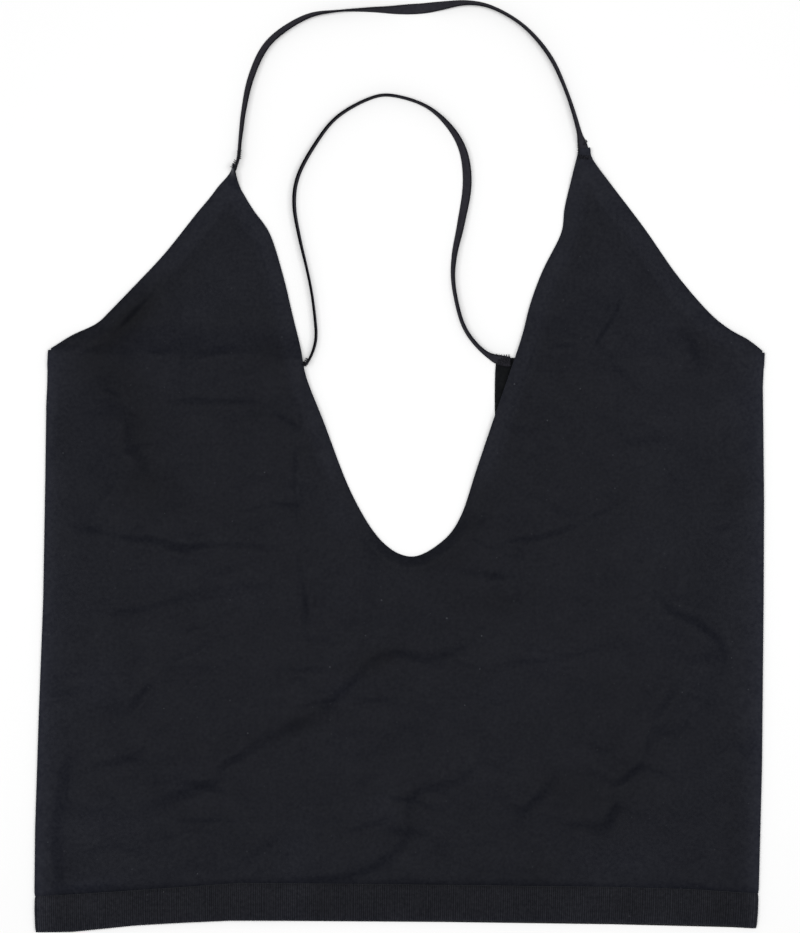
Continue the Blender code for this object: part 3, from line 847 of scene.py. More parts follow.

# %% Soft patches of painted light and shade
# each has its middle, its two half-widths, how much painted light it adds (below 0, painted shade),
# and how far it is turned
Patch = namedtuple("Patch", "x y long wide gain turn", defaults=(0,))
PATCHES = [Patch(*row) for row in (
    # along the left armhole
    (-129, 70, 24, 5.6, -0.5, 42),
    # over the back's turned-in top edge, and below it
    (-92, 59, 46, 6, 0.11, 3), (-60, 54, 12, 11, -0.17), (-66, 24, 9, 6, -0.1),
    (-98, 74, 19, 8, 0.17, 38), (-112, 82, 13, 5, 0.1, 42), (-118, 44, 34, 8, 0.12, -4),
    (-139, 45, 16, 11, -0.34, -25), (-125, 16, 10, 26, -0.22, 4), (-122, -9, 14, 8, -0.17),
    # down the left side, and beside it
    (-163, 16, 8, 12, -0.17), (-163, -4, 34, 8, -0.15, 90), (-163, -36, 8, 7, -0.17),
    (-108, -20, 34, 8, -0.09, -4), (-76, -62, 18, 8, 0.13),
    # round the neckline
    (-28, -22, 14, 8, 0.25, -62), (-46, -10, 9, 9, 0.08), (-14, -51, 20, 7, 0.09),
    (-108, -50, 20, 8, 0.06), (12, -46, 24, 5, -0.14, 4), (33, -31, 16, 6, -0.17, 54),
    (47, -66, 11, 7, -0.17),
    # the two points, and down the right side
    (-70, 108, 40, 26, 0.15, 60), (-79, 137, 6, 7, 0.36), (-80, 128, 9, 6, 0.12),
    (89, 151.5, 5, 4, 0.42), (90, 145, 7, 8, 0.16), (86, 109, 8, 8, -0.17), (87, 36, 8, 8, -0.09),
    (106, 94, 8, 6, 0.09, -50), (92, 96, 56, 34, 0.16, -62), (126, 65, 10, 9, 0.21, 30),
    (128, 20, 60, 26, 0.08, 90), (162, 30, 12, 9, 0.16, 90), (163, -10, 9, 11, -0.21),
    (124, -36, 11, 8, 0.12),
    # beside the long diagonal, and across to the right
    (-144, -105, 11, 11, 0.25), (-28, -107, 9, 6, 0.16, 30), (-46, -122, 14, 6, -0.18, 26),
    (-10, -93, 13, 6, -0.28, 20), (68, -93, 11, 8, 0.16), (48, -108, 10, 7, 0.13),
    (4, -160, 22, 9, -0.06, 75), (-28, -136, 9, 9, 0.08), (-105, -150, 9, 8, 0.11),
    (-84, -134, 46, 6, -0.05, 16), (82, -122, 30, 8, -0.08, 10), (104, -106, 9, 8, -0.09),
    (144, -100, 9, 13, 0.12), (29, -72, 8, 24, -0.07), (-28, -64, 8, 8, 0.08),
    (-9, -166, 9, 9, 0.18), (78, -154, 16, 9, -0.17, -20), (103, -156, 34, 14, -0.14, 62),
    (126, -79, 12, 9, 0.1),
    # low down the right side
    (163, -172, 44, 9, -0.21, 90),
    # above the hem band
    (-96, -194, 84, 10, 0.1, 2), (-140, -173, 23, 13, 0.19), (-163, -198, 8, 10, -0.17),
    (-146, -200, 17, 4, 0.24, 3), (-156, -203, 13, 2.4, 0.3, 4), (-48, -184, 10, 18, 0.18),
    (67, -193, 8, 9, -0.14), (106, -190, 26, 11, 0.24), (60, -120, 60, 22, 0.03, 25),
    # along the hem band
    (130, -202.2, 34, 1.6, 0.13, -1), (-162, -213, 6, 9, -0.15), (-147, -213, 7, 9, 0.12),
    (-51, -211, 7, 9, 0.2), (-37, -211, 6, 9, -0.16), (-16, -211, 9, 9, -0.06),
    (22, -211, 12, 9, -0.07), (87, -212, 9, 9, 0.14), (112, -212, 6, 9, -0.11),
    (124, -212, 6, 9, 0.09), (155, -213, 7, 9, -0.28), (168, -213, 5, 10, -0.4),
)]


# %% Painting light and shade into the yarn's colour
def mark_light(made, first_inner):
    """A point attribute of painted light and shade, a factor on the yarn's colour; 1 where nothing is
    painted.
    """
    values = np.empty(3 * len(made.data.vertices), np.float32)
    made.data.vertices.foreach_get("co", values)
    points = values.reshape(-1, 3)[:, :2].astype(float) / MM
    x, y = points.T
    from_side = np.maximum(from_sides(x, y), 0)
    below_arm = 1 - smooth_step((y - 52.0) / 8.0)
    light = FOLD_LIGHT * np.exp(-np.maximum(from_side, FOLD_CORE) / FOLD_REACH) * below_arm
    light += SIDE_LIGHT * np.exp(-from_side / SIDE_REACH) * below_arm
    for line, width, lowest in LIT_HEMS:
        off = nearest(points, line)[0] - width
        lit = smooth_step((y - lowest) / 16.0) * (1 - smooth_step((off + 2.5) / 7.0))
        light = np.maximum(light, HEM_LIGHT * lit)
    from_bottom = np.maximum(y - line_y(FRONT_HEM, x), 0)
    light = np.maximum(light, BOTTOM_LIGHT * np.exp(-from_bottom / BOTTOM_REACH))
    from_seam = line_y(HEM_LINE, x) - y
    light -= SEAM_SHADE * np.exp(-np.maximum(from_seam, 0) / SEAM_REACH) * (from_seam > 0)
    for patch in PATCHES:
        turn = math.radians(patch.turn)
        across, up = x - patch.x, y - patch.y
        u = (across * math.cos(turn) + up * math.sin(turn)) / patch.long
        v = (up * math.cos(turn) - across * math.sin(turn)) / patch.wide
        light += patch.gain * np.exp(-(u**2 + v**2))
    inner = points[first_inner:]
    light[first_inner:] -= EDGE_PAINTED_SHADOW * np.exp(-nearest(inner, FRONT_NECK)[0] / EDGE_REACH)
    from_strap = np.hypot(*(inner - STRAP_END).T)
    light[first_inner:] -= STRAP_PAINTED_SHADOW * np.exp(-from_strap / STRAP_REACH)
    mark_points(made, "light", 1 + light)


inner_start = len(body.data.vertices) - inner_count
mark_inside(body, inner_start, len(body.data.vertices))
mark_light(body, inner_start)

# %% [markdown]
# ## Yarn and finish
#
# Three effects are shared by the materials, so each is a node group: the loops of the knit, the
# uneven depth of the dye, and the few specks of lint that black cloth always picks up. The
# groups give heights and masks only. Each material mixes them with its own values.


# %% Node helpers
def new_group(name, result, **sizes):
    """A shader group that reads a Vector and sizes and gives one number; its two end nodes."""
    group = bpy.data.node_groups.new(name, "ShaderNodeTree")
    group.interface.new_socket("Vector", in_out="INPUT", socket_type="NodeSocketVector")
    for title, value in sizes.items():
        group.interface.new_socket(
            title, in_out="INPUT", socket_type="NodeSocketFloat").default_value = value
    group.interface.new_socket(result, in_out="OUTPUT", socket_type="NodeSocketFloat")
    return group, group.nodes.new("NodeGroupInput").outputs, group.nodes.new("NodeGroupOutput")


def add_node(tree, kind, inputs=(), **settings):
    """A node with its settings and inputs. Gives its outputs."""
    node = tree.nodes.new(kind)
    for name, value in settings.items():
        setattr(node, name, value)
    set_inputs(tree, node, dict(inputs))
    return node.outputs


def math_node(tree, operation, *values):
    """A Math node; each value is a number or a socket. Gives its result socket."""
    return add_node(tree, "ShaderNodeMath", enumerate(values), operation=operation)[0]


def noise_node(tree, vector, size, detail=2.0):
    """Noise in patches of about that size in metres. Gives its value socket, 0 to 1."""
    return add_node(tree, "ShaderNodeTexNoise",
                    {"Scale": 1.0 / size, "Detail": detail, "Vector": vector})["Fac"]


def mix_colours(tree, share, low, high, blend="MIX"):
    """Two colours mixed by a share, or multiplied; each is red, green and blue, or a socket."""
    low, high = (colour if isinstance(colour, bpy.types.NodeSocket) else (*colour, 1)
                 for colour in (low, high))
    return add_node(tree, "ShaderNodeMix", {"Factor": share, 6: low, 7: high},
                    data_type="RGBA", blend_type=blend)[2]


# %% Loops of the knit
WALE = 0.0005          # one column of loops, in metres
COURSE = 0.0004        # one row of loops
LEG_LEAN = 0.8         # how far a loop's legs lean along their wale, in courses

knit_loops, given, result = new_group("knit_loops", "Height", Wale=WALE, Course=COURSE)
do = partial(math_node, knit_loops)
place = add_node(knit_loops, "ShaderNodeSeparateXYZ", {0: given["Vector"]})
rib = do("MULTIPLY", do("PINGPONG", do("DIVIDE", place["X"], given["Wale"]), 0.5), 2.0)
up_course = do("DIVIDE", place["Y"], given["Course"])
leaning = do("ADD", up_course, do("MULTIPLY", rib, LEG_LEAN))
legs = do("MULTIPLY_ADD", do("SINE", do("MULTIPLY", leaning, math.tau)), 0.22, 0.28)
height = do("ADD", do("MULTIPLY", do("SQRT", rib), 0.5), legs)
set_inputs(knit_loops, result, {"Height": height})

# %% Uneven dye
GRAIN_SIZE = 0.0016    # of the finer patches, in metres
CLOUD_SIZE = 0.014     # of the wider ones
GRAIN_SHARE, CLOUD_SHARE = 1.08, 0.4
DEPTH_SHIFT = -0.235   # which keeps the depth about halfway, on average

dye_depth, given, result = new_group("dye_depth", "Depth")
do = partial(math_node, dye_depth)
grain = noise_node(dye_depth, given["Vector"], GRAIN_SIZE)
cloudy = noise_node(dye_depth, given["Vector"], CLOUD_SIZE, 3.0)
wide = do("MULTIPLY_ADD", cloudy, CLOUD_SHARE, DEPTH_SHIFT)
mixed = do("MULTIPLY_ADD", grain, GRAIN_SHARE, wide)
set_inputs(dye_depth, result, {"Depth": mixed})

# %% Specks of lint
LINT_CELL = 0.008      # in metres; a cell has one speck or none
EMPTY_CELLS = 0.8      # share of the cells that have none
SPECK_SIZE, SPECK_SPREAD = 0.015, 0.04     # the smallest speck and the spread above it, in cells
SPECK_PALE, PALE_SPREAD = 0.09, 0.34       # the faintest speck, and how much paler they get
PALE_POWER = 9.0       # high, so that only a few get much paler

lint, given, result = new_group("lint_specks", "Mask", Cell=LINT_CELL)
do = partial(math_node, lint)
place = add_node(lint, "ShaderNodeSeparateXYZ", {0: given["Vector"]})
per_cell = do("DIVIDE", 1.0, given["Cell"])
flat = add_node(lint, "ShaderNodeCombineXYZ",
                {axis: do("MULTIPLY", place[axis], per_cell) for axis in ("X", "Y")})[0]
cells = add_node(lint, "ShaderNodeTexVoronoi", {"Scale": 1.0, "Vector": flat},
                 voronoi_dimensions="2D")
pick = add_node(lint, "ShaderNodeSeparateColor", {0: cells["Color"]})
reach = do("MULTIPLY_ADD", pick["Green"], SPECK_SPREAD, SPECK_SIZE)
here = do("LESS_THAN", cells["Distance"], reach)
chosen = do("GREATER_THAN", pick["Red"], EMPTY_CELLS)
pale = do("MULTIPLY_ADD", do("POWER", pick["Blue"], PALE_POWER), PALE_SPREAD, SPECK_PALE)
set_inputs(lint, result, {"Mask": do("MULTIPLY", do("MULTIPLY", here, chosen), pale)})
print("groups", [group.name for group in (knit_loops, dye_depth, lint)])

# %% [markdown]
# The yarn is a dull navy that is nearly black. Its fine fuzz catches light at a grazing angle:
# that is the sheen. The lighter strips along its folds are mostly painted light, from the 'light'
# mark. The share of the light that a dark knit mirrors is small, so its specular level is turned
# well down.

# %% Cloth materials
# each dye is red, green and blue, and the yarn's depth varies between a dark and a light one
YARN_DARK = (0.0026, 0.0030, 0.0059)
YARN_LIGHT = (0.0116, 0.0124, 0.0165)
RIB_DARK = (0.0034, 0.0038, 0.0070)
RIB_LIGHT = (0.0233, 0.0240, 0.0300)
LINT_PALE = (0.085, 0.09, 0.1)
INSIDE_DYE = (0.95, 0.95, 0.76)    # what the inner face keeps of each
LOOP_HEIGHT = 0.00005  # in metres


def add_bump(tree, height, distance):
    """A bump of that height in metres. Gives its normal."""
    return add_node(tree, "ShaderNodeBump",
                    {"Strength": 1.0, "Distance": distance, "Height": height})[0]


def cloth_material(name, dark, light):
    """Knitted navy yarn: loops as bump, uneven dye, lint, and a duller inner face."""
    material, tree, shader = new_material(name, {
        "Specular IOR Level": 0.05, "Sheen Weight": 0.08, "Sheen Roughness": 0.45,
        "Sheen Tint": (0.8, 0.84, 1.0, 1)})
    do = partial(math_node, tree)
    place = add_node(tree, "ShaderNodeTexCoord")["Object"]
    depth, specks, loops = (
        add_node(tree, "ShaderNodeGroup", {"Vector": place}, node_tree=group)[0]
        for group in (dye_depth, lint, knit_loops))
    # the 'light' mark is painted light and shade; it scales the yarn's colour below
    inside, gain = (add_node(tree, "ShaderNodeAttribute", attribute_name=mark)["Fac"]
                    for mark in ("inside", "light"))
    dyed = mix_colours(tree, depth, dark, light)
    dull = mix_colours(tree, inside, dyed, INSIDE_DYE, "MULTIPLY")
    lit = add_node(tree, "ShaderNodeVectorMath", {0: dull, "Scale": gain}, operation="SCALE")[0]
    rough = do("MULTIPLY_ADD", noise_node(tree, place, 0.004), 0.1, 0.43)
    set_inputs(tree, shader, {
        "Base Color": mix_colours(tree, specks, lit, LINT_PALE),
        "Normal": add_bump(tree, loops, LOOP_HEIGHT),
        "Roughness": do("MULTIPLY_ADD", inside, 0.45, rough)})
    return material


knit_material = cloth_material("navy_knit", YARN_DARK, YARN_LIGHT)
rib_material = cloth_material("navy_rib", RIB_DARK, RIB_LIGHT)
body.data.materials.append(knit_material)

# %% [markdown]
# Elastic tape is woven, not knitted: fine cords run along it, and the weft crosses them. It lies
# at every angle, so its pattern follows the tape's own UV map, laid out in metres.

# %% Elastic and thread
CORD_PITCH = 0.0007    # in metres
PICK_PITCH = 0.0006
WEAVE_HEIGHT = 0.00006
TAPE_DARK = (0.0165, 0.0162, 0.0208)
TAPE_LIGHT = (0.0375, 0.0362, 0.0445)
SELVEDGE_AND_SHADE = (0.08, 0.083, 0.095)    # what the woven edge leaves of the tape's colour: its own darker edge and painted shade on the tape's sides
THREAD_DARK = (0.0016, 0.0017, 0.0026)
THREAD_LIGHT = (0.036, 0.036, 0.043)

elastic_material, tree, shader = new_material("navy_elastic", {
    "Specular IOR Level": 0.0, "Sheen Weight": 0.02, "Sheen Roughness": 0.4})
do = partial(math_node, tree)
tape = add_node(tree, "ShaderNodeSeparateXYZ",
                {0: add_node(tree, "ShaderNodeUVMap", uv_map="tape")[0]})
cords = do("SINE", do("MULTIPLY", tape["Y"], math.tau / CORD_PITCH))
picks = do("SINE", do("MULTIPLY", tape["X"], math.tau / PICK_PITCH))
weave = do("MULTIPLY_ADD", cords, 0.5, do("MULTIPLY", picks, 0.35))
place = add_node(tree, "ShaderNodeTexCoord")["Object"]
tape_colour = mix_colours(tree, noise_node(tree, place, 0.0016, 3.0), TAPE_DARK, TAPE_LIGHT)
at_edge = add_node(tree, "ShaderNodeAttribute", attribute_name="selvedge_and_shade")["Fac"]
set_inputs(tree, shader, {
    "Base Color": mix_colours(tree, at_edge, tape_colour, SELVEDGE_AND_SHADE, "MULTIPLY"),
    "Normal": add_bump(tree, weave, WEAVE_HEIGHT),
    "Roughness": do("MULTIPLY_ADD", picks, 0.05, 0.55)})

thread_material, tree, shader = new_material("navy_thread", {"Specular IOR Level": 0.03})
do = partial(math_node, tree)
place = add_node(tree, "ShaderNodeTexCoord")["Object"]
share = do("MULTIPLY_ADD", noise_node(tree, place, 0.0007), 2.2, -0.7)
set_inputs(tree, shader, {
    "Base Color": mix_colours(tree, share, THREAD_DARK, THREAD_LIGHT),
    "Roughness": do("MULTIPLY_ADD", noise_node(tree, place, 0.0003), 0.2, 0.4)})
print("materials", [made.name for made in (knit_material, rib_material, elastic_material,
                                            thread_material)])

# %% [markdown]
# ## The ribbed hem band
#
# The band is knitted double and ribbed, so that it grips. It is a short tube of its own: a loop
# round both layers, repeated in rows from the bottom to the hem line. The ribs follow one rule
# all the way round, so a Geometry Nodes tree raises them: it reads each point's distance round
# the tube and moves the point outwards by a wave of the rib's pitch.


# %% Tree for the ribs
def new_geometry_tree(name, **inputs):
    """An empty Geometry Nodes tree with inputs of the given kinds; its two end nodes."""
    tree = bpy.data.node_groups.new(name, "GeometryNodeTree")
    tree.is_modifier = True
    tree.interface.new_socket("Geometry", in_out="OUTPUT", socket_type="NodeSocketGeometry")
    for title, kind in {"Geometry": "Geometry", **inputs}.items():
        tree.interface.new_socket(title, in_out="INPUT", socket_type="NodeSocket" + kind)
    return tree, tree.nodes.new("NodeGroupInput").outputs, tree.nodes.new("NodeGroupOutput")


def finish_tree(tree, geometry, material, result):
    """Realize Instances and Set Material, which end every tree here."""
    real = add_node(tree, "GeometryNodeRealizeInstances", {0: geometry})[0]
    painted = add_node(tree, "GeometryNodeSetMaterial", {"Geometry": real, "Material": material})
    set_inputs(tree, result, {0: painted[0]})


RIB_DRIFT = 240.0      # how often, per metre, the ribs drift from an even pitch

rib_tree, given, result = new_geometry_tree(
    "ribs_round_a_band", Pitch="Float", Depth="Float", Wander="Float", Shade="Float",
    Material="Material")
do, node = partial(math_node, rib_tree), partial(add_node, rib_tree)
around, ribbed, light = (
    node("GeometryNodeInputNamedAttribute", {"Name": name}, data_type="FLOAT")[0]
    for name in ("around", "ribbed", "light"))
drift = node("ShaderNodeTexNoise", {"Scale": RIB_DRIFT, "Detail": 1.0, "W": around},
             noise_dimensions="1D")[0]
shifted = do("MULTIPLY_ADD", drift, given["Wander"], around)
phase = do("MULTIPLY", do("DIVIDE", shifted, given["Pitch"]), math.tau)
crest = do("MULTIPLY", do("MULTIPLY_ADD", do("COSINE", phase), 0.5, -0.5), ribbed)
# painted shade: the colour is darkened down in the valleys between the ribs
shade = do("ADD", do("MULTIPLY", crest, given["Shade"]), 1.0)
shaded = node("GeometryNodeStoreNamedAttribute",
              {"Geometry": given["Geometry"], "Name": "light", "Value": do("MULTIPLY", shade, light)},
              data_type="FLOAT", domain="POINT")[0]
outward = node("ShaderNodeVectorMath", {0: node("GeometryNodeInputNormal")[0],
                                        "Scale": do("MULTIPLY", crest, given["Depth"])},
               operation="SCALE")[0]
moved = node("GeometryNodeSetPosition", {"Geometry": shaded, "Offset": outward})[0]
finish_tree(rib_tree, moved, given["Material"], result)


# %% Running a tree
def run_tree(made, tree, **inputs):
    """Runs a tree on an object with the given inputs, and puts the result in its place."""
    modifier = made.modifiers.new(tree.name, "NODES")
    modifier.node_group = tree
    for item in tree.interface.items_tree:
        if item.in_out == "INPUT" and item.name in inputs:
            modifier[item.identifier] = inputs[item.name]
    bpy.context.view_layer.update()
    evaluated = made.evaluated_get(bpy.context.evaluated_depsgraph_get())
    mesh = bpy.data.meshes.new_from_object(evaluated)
    made.modifiers.clear()
    made.data = mesh
    return made


# %% Sizes of the band
RIB_PITCH = 1.0
RIB_STEP = 0.25        # four columns of points to a rib
RIB_DEPTH = 0.3        # how deep the valleys between the ribs are
RIB_WANDER = 0.9       # how far a rib strays from its even place
RIB_SHADE = 0.64       # painted shade: how much darker the colour is down between the ribs
# rows of points from the bottom, 0, to the hem line, 1
BAND_ROWS = np.array((0, 0.04, 0.12, 0.26, 0.4, 0.54, 0.68, 0.82, 0.91, 0.96, 1))
BAND_COLUMNS = round(FLAT_WIDTH / RIB_STEP)
BAND_HALF = (BAND_WALL + LAYER_GAP) / 2    # from the middle of the band to the middle of a wall
BAND_INSET = BAND_HALF + BAND_WALL / 2
BAND_MIDDLE = BAND_WALL + LAYER_GAP / 2
BAND_SWELL = 0.25      # how far the front stands off halfway up
BAND_RIPPLE = 0.8      # and in soft waves along it
BAND_CALM = 0.03       # share of its length, at either end, over which both die away
EDGE_DROP = 0.3        # how much thinner the band is at its bottom and at the hem line
EDGE_SHARE = 0.12      # over this share of its height
TURN_ANGLES = np.radians((60, 30, 0, -30, -60))[:, None]


# %% Loops round the band
def band_loop(share, reach):
    """A closed loop round the band: share 0 is its bottom, 1 its top; reach moves it outwards."""
    even = np.linspace(0, 1, BAND_COLUMNS + 1)
    calm = smooth_step(even / BAND_CALM), smooth_step((1 - even) / BAND_CALM)
    layers = []
    for bottom, sign in ((FRONT_HEM, 1), (BACK_HEM, -1)):
        low, high = (np.interp(share, (0, 1), (bottom[end][1], HEM_LINE[end][1] - SEAM_GAP / 2))
                     for end in (0, -1))
        left = side_x(LEFT_SIDE, low) + BAND_INSET
        right = side_x(RIGHT_SIDE, high) - BAND_INSET
        x = left + (right - left) * even
        y = line_y(bottom, x) * (1 - share) + (line_y(HEM_LINE, x) - SEAM_GAP / 2) * share
        lift = BAND_HALF + reach
        if sign > 0:
            ripple = 0.5 + 0.5 * unevenness(np.column_stack([x, y]) * (1, 0.25), 15.0, 21)
            swell = BAND_SWELL * np.sin(np.pi * share)
            lift = lift + (BAND_RIPPLE * ripple + swell) * calm[0] * calm[1]
        layers.append(np.column_stack([x, y, BAND_MIDDLE + sign * lift * np.ones(len(x))]))
    front, back = layers[0], layers[1][::-1]
    radius = BAND_HALF + reach
    right_turn, left_turn = (
        np.hstack([end[0] + outward * np.cos(TURN_ANGLES) * radius, end[1] + 0 * TURN_ANGLES,
                   BAND_MIDDLE + np.sin(TURN_ANGLES) * radius])
        for end, outward in ((front[-1], 1), (front[0], -1)))
    return np.vstack([front, right_turn, back, left_turn[::-1]])


# %% Hem band
thinner = -EDGE_DROP * ((1 - smooth_step(BAND_ROWS / EDGE_SHARE))
                        + (1 - smooth_step((1 - BAND_ROWS) / EDGE_SHARE)))
outer_loops = [band_loop(share, BAND_WALL / 2 + drop) for share, drop in zip(BAND_ROWS, thinner)]
loops = outer_loops + [band_loop(share, -BAND_WALL / 2) for share in (1.0, 0.0)]
mesh_data = bmesh.new()
rings = [[mesh_data.verts.new(point) for point in loop] for loop in loops]
for one, two in zip(rings, rings[1:] + rings[:1]):
    join_rows(mesh_data, one + one[:1], two + two[:1])
band = finish_mesh("hem_rib", mesh_data)

ring_size = len(loops[0])
outer_count = len(outer_loops) * ring_size
middle_loop = outer_loops[len(outer_loops) // 2]
run = running(np.linalg.norm(np.diff(middle_loop, axis=0), axis=1))
mark_points(band, "around", np.tile(run * MM, len(loops)))
mark_points(band, "ribbed", np.arange(len(loops) * ring_size) < outer_count)
mark_light(band, outer_count)
run_tree(band, rib_tree, Pitch=RIB_PITCH * MM, Depth=RIB_DEPTH * MM, Wander=RIB_WANDER * MM,
         Shade=RIB_SHADE, Material=rib_material)
mark_inside(band, outer_count, len(loops) * ring_size)
print("ribs round the band:", round(run[-1] / RIB_PITCH))

# %% [markdown]
# ## The straps
#
# Each strap is a flat elastic, 5 mm wide and 1.1 mm thick. It takes up its curves by standing on
# its edge, and lies flat where it turns over. A row for each place along it gives where it runs,
# how far it is tilted, and what height it rests at where that isn't the table. A rounded section
# swept along that line and turned by the tilt makes the tape.

# %% Tables for the straps
Station = namedtuple("Station", "x y tilt rest", defaults=(0,))
NECK_STRAP = [Station(*row) for row in (
    (-78.7, 141.9, 94), (-77.9, 145.2, 100), (-76.9, 148.4, 107), (-76.7, 152.4, 104),
    (-76.3, 157.0, 107), (-75.7, 161.5, 112), (-74.8, 169.5, 115), (-71.0, 186.8, 128),
    (-62.5, 203.4, 133), (-45.2, 215.3, 123), (-29.9, 218.2, 101), (-12.7, 218.9, 75),
    (-2.8, 218.8, 51), (10.1, 219.6, 7), (20.7, 220.9, -31), (32.2, 222.3, -58), (44.5, 220.1, -68),
    (59.8, 211.0, -69), (72.4, 196.4, -66), (80.6, 178.6, -71), (85.8, 162.3, -65),
    (86.9, 157.3, -61), (88.2, 153.9, -4), (88.8, 149.8, 0), (89.6, 144.8, 0),
)]
BACK_STRAP = [Station(*row) for row in (
    (-44.6, 48.6, 90), (-42.0, 53.2, 87), (-40.2, 59.0, 84), (-39.9, 65.0, 83), (-41.9, 82.3, 86),
    (-44.9, 96.9, 85), (-47.6, 108.2, 81), (-50.5, 125.5, 77), (-48.1, 140.4, 79),
    (-37.5, 158.6, 82), (-28.5, 168.5, 84), (-14.2, 176.3, 87), (-3.3, 177.8, 88),
    (15.0, 171.4, 83), (28.8, 155.9, 55), (32.7, 137.0, 36), (29.4, 115.0, 49), (26.5, 101.5, 64),
    (25.9, 88.0, 75), (29.5, 70.6, 77), (34.2, 61.4, 76), (40.5, 54.6, 73), (43.9, 52.3, 64, 0.5),
    (46.6, 51.0, 38, 1.35), (49.4, 50.2, 0, 1.35), (53.2, 50.0, 0, 1.35),
)]
SECTION_POINTS = 16    # round the tape
SECTION_SQUARENESS = 3.2           # 2 would be an ellipse
EASING = 14            # rounds of averaging that ease the way between the stations
SHADE_FROM, SHADE_TO = -30, 0      # between these x, the woven edges' darkening, partly painted shade, goes from left to right
EDGE_START = 0.78      # where the woven edge starts, as a share of the half-width


# %% Straps
def tape_section():
    """Points round the rounded section of the tape, across its width and its thickness."""
    turn = np.linspace(0, math.tau, SECTION_POINTS, endpoint=False) + math.pi / SECTION_POINTS
    return [np.sign(way) * abs(way) ** (2 / SECTION_SQUARENESS) * size / 2
            for way, size in ((np.cos(turn), STRAP_WIDTH), (np.sin(turn), STRAP_THICK))]


def make_strap(name, stations, edge_shade):
    """A tape swept along its stations, with its own UV map in metres: along, then across.

    edge_shade says how dark its woven edges are at the left and at the right: their own darker colour
    and painted shade."""
    path = curve(stations, round(plan_steps(stations).sum()))
    for _ in range(EASING):
        path[1:-1] = (path[:-2] + 2 * path[1:-1] + path[2:]) / 4
    ahead = unit_ways(path[:, :2])
    tilt = np.radians(path[:, 2])
    lift = (STRAP_WIDTH * abs(np.sin(tilt)) + STRAP_THICK * abs(np.cos(tilt))) / 2
    centre = np.column_stack([path[:, :2], np.maximum(path[:, 3], 0) + lift])
    aside = np.column_stack([-ahead[:, 1], ahead[:, 0], np.zeros(len(path))])
    up = np.array([0.0, 0.0, 1.0])
    sine, cosine = np.sin(tilt)[:, None], np.cos(tilt)[:, None]
    wide_at, thick_at = tape_section()
    mesh_data = bmesh.new()
    uv = mesh_data.loops.layers.uv.new("tape")
    rings = [[mesh_data.verts.new(point) for point in
              middle + np.outer(wide_at, across) + np.outer(thick_at, through)]
             for middle, across, through in zip(centre, aside * cosine + up * sine,
                                                up * cosine - aside * sine)]
    run = running(np.linalg.norm(np.diff(centre, axis=0), axis=1))
    round_it = running(np.hypot(np.diff(wide_at), np.diff(thick_at)))
    round_it = np.append(round_it, round_it[-1] + STRAP_THICK / 2)
    for at, (one, two) in enumerate(zip(rings, rings[1:])):
        for k in range(SECTION_POINTS):
            after = (k + 1) % SECTION_POINTS
            face = mesh_data.faces.new((one[k], one[after], two[after], two[k]))
            for loop, (i, j) in zip(face.loops, ((at, k), (at, k + 1), (at + 1, k + 1), (at + 1, k))):
                loop[uv].uv = (run[i] * MM, round_it[j] * MM)
    for ring in (rings[0], rings[-1]):
        mesh_data.faces.new(ring)
    made = finish_mesh(name, mesh_data)
    # the woven edges are darkened, partly their own colour and partly painted shade on the tape's
    # sides
    at_edge = smooth_step((abs(wide_at) / (STRAP_WIDTH / 2) - EDGE_START) / 0.15)
    shade = np.interp(path[:, 0], (SHADE_FROM, SHADE_TO), edge_shade)
    mark_points(made, "selvedge_and_shade", np.outer(shade, at_edge).ravel())
    made.data.materials.append(elastic_material)
    print(f"{name}: {run[-1]:.0f} mm of tape")
    return made


neck_tape = make_strap("neck_tape", NECK_STRAP, (0.6, 0.5))
back_tape = make_strap("back_tape", BACK_STRAP, (1.0, 0.55))

# %% [markdown]
# ## Tacks at the strap ends
#
# A machine tacks each strap end down with a dense little zigzag, a bartack. One Geometry Nodes
# tree makes them all: a row of points moved left and right in turn, joined into a line, rounded
# down over what it holds, and given the thickness of the thread.

# %% Tree for a bartack
tack_tree, given, result = new_geometry_tree(
    "bartack", Length="Float", Width="Float", Stitches="Int", Thread="Float", Sag="Float",
    Material="Material")
do, node = partial(math_node, tack_tree), partial(add_node, tack_tree)


def straight(axis, value):
    """A vector along one axis."""
    return node("ShaderNodeCombineXYZ", {axis: value})[0]


row = node("GeometryNodeMeshLine", {
    "Count": do("ADD", given["Stitches"], 1),
    "Offset": straight("Y", do("DIVIDE", given["Length"], given["Stitches"])),
    "Start Location": straight("Y", do("MULTIPLY", given["Length"], -0.5))}, mode="OFFSET")[0]
hand = do("SUBTRACT", do("MODULO", node("GeometryNodeInputIndex")[0], 2.0), 0.5)
zigzag = node("GeometryNodeSetPosition", {
    "Geometry": row, "Offset": straight("X", do("MULTIPLY", hand, given["Width"]))})[0]
fine = node("GeometryNodeResampleCurve", {
    "Curve": node("GeometryNodeMeshToCurve", {0: zigzag})[0],
    "Count": do("MULTIPLY", given["Stitches"], 6)})[0]
place = node("ShaderNodeSeparateXYZ", {0: node("GeometryNodeInputPosition")[0]})
off_middle = do("DIVIDE", place["X"], given["Width"])
fall = do("MULTIPLY", do("MULTIPLY", off_middle, off_middle), -4.0)     # -1 at either side
rounded = node("GeometryNodeSetPosition", {
    "Geometry": fine, "Offset": straight("Z", do("MULTIPLY", fall, given["Sag"]))})[0]
ring = node("GeometryNodeCurvePrimitiveCircle", {"Resolution": 6, "Radius": given["Thread"]})[0]
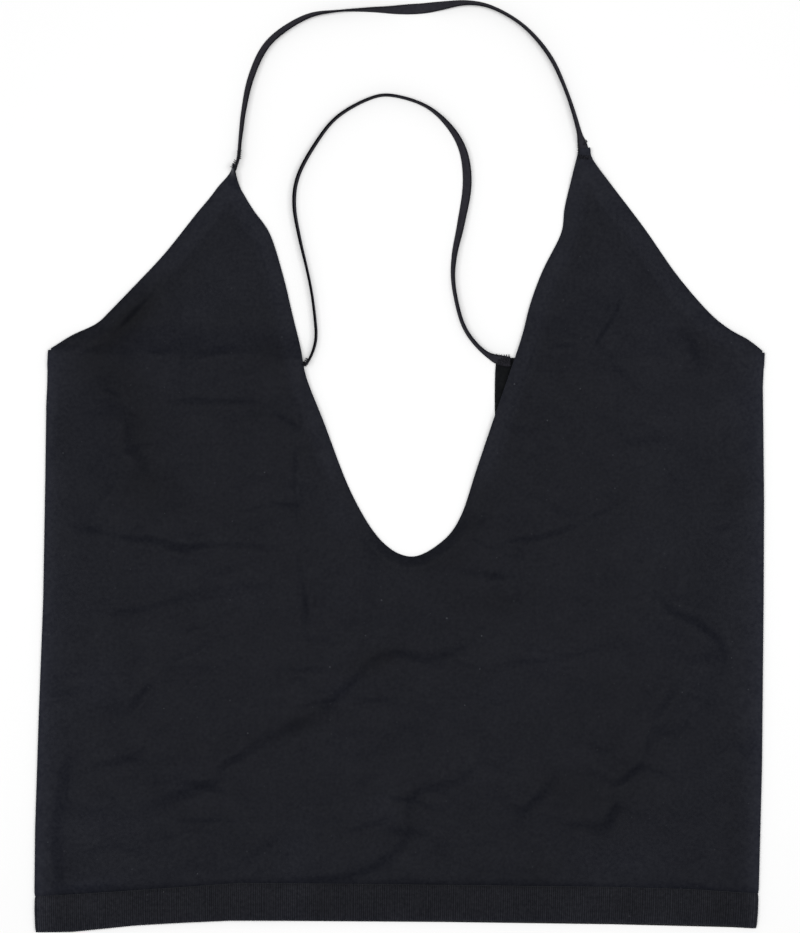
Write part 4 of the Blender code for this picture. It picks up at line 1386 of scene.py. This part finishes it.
thread = node("GeometryNodeCurveToMesh", {
    "Fill Caps": True, "Curve": rounded, "Profile Curve": ring})[0]
finish_tree(tack_tree, thread, given["Material"], result)

# %% Bartacks
Tack = namedtuple("Tack", "name x y z turn length width stitches sag")
TACKS = (
    Tack("left_neck_tack", -76.7, 149.0, 5.45, -3, 4.4, 2.2, 9, 0.4),
    Tack("left_tip_tack", -78.7, 144.2, 6.4, -28, 3.8, 2.6, 8, 0.5),
    Tack("right_neck_tack", 88.8, 148.0, 3.3, 86, 5.6, 2.2, 9, 0.2),
    # not a tack: a thin dark zigzag of thread that paints the shadow along the strap's left edge
    Tack("right_edge_painted_shadow", 86.0, 150.2, 3.2, 2, 7.2, 0.9, 12, 0.0),
    Tack("right_loose_end", 89.4, 155.2, 1.8, -32, 2.6, 1.2, 4, 0.0),
    Tack("right_back_tack", 50.0, 50.8, 3.4, 90, 6.4, 5.8, 11, 0.2),
    Tack("left_back_tack", -44.6, 49.6, 5.4, -28, 4.0, 2.4, 9, 0.6),
)
THREAD_RADIUS = 0.2


def make_tack(tack):
    """A bartack, run from its tree and set in its place."""
    holder = link_object(tack.name, bpy.data.meshes.new(tack.name))
    run_tree(holder, tack_tree, Length=tack.length * MM, Width=tack.width * MM,
             Stitches=tack.stitches, Thread=THREAD_RADIUS * MM, Sag=tack.sag * MM,
             Material=thread_material)
    spot = Matrix.Translation(Vector((tack.x, tack.y, tack.z)) * MM)
    holder.data.transform(spot @ Matrix.Rotation(math.radians(tack.turn), 4, "Z"))
    holder.data.shade_smooth()
    return holder


tacks = [make_tack(tack) for tack in TACKS]
print("tacks", [(tack.name, len(tack.data.polygons)) for tack in tacks])

# %% [markdown]
# ## What stands for what
#
# Each piece rides on the garment's one body and stands for the plain solid of the same form.

# %% Hand the pieces to the frame
STANDS_FOR = (
    (body, "body_tube", "knit"), (band, "hem_band", "rib"),
    (neck_tape, "neck_strap", "elastic"), (back_tape, "back_strap", "elastic"),
)
for piece, node, slot in STANDS_FOR:
    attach(piece, "root")
    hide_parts(node)
for tack in tacks:
    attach(tack, "root")
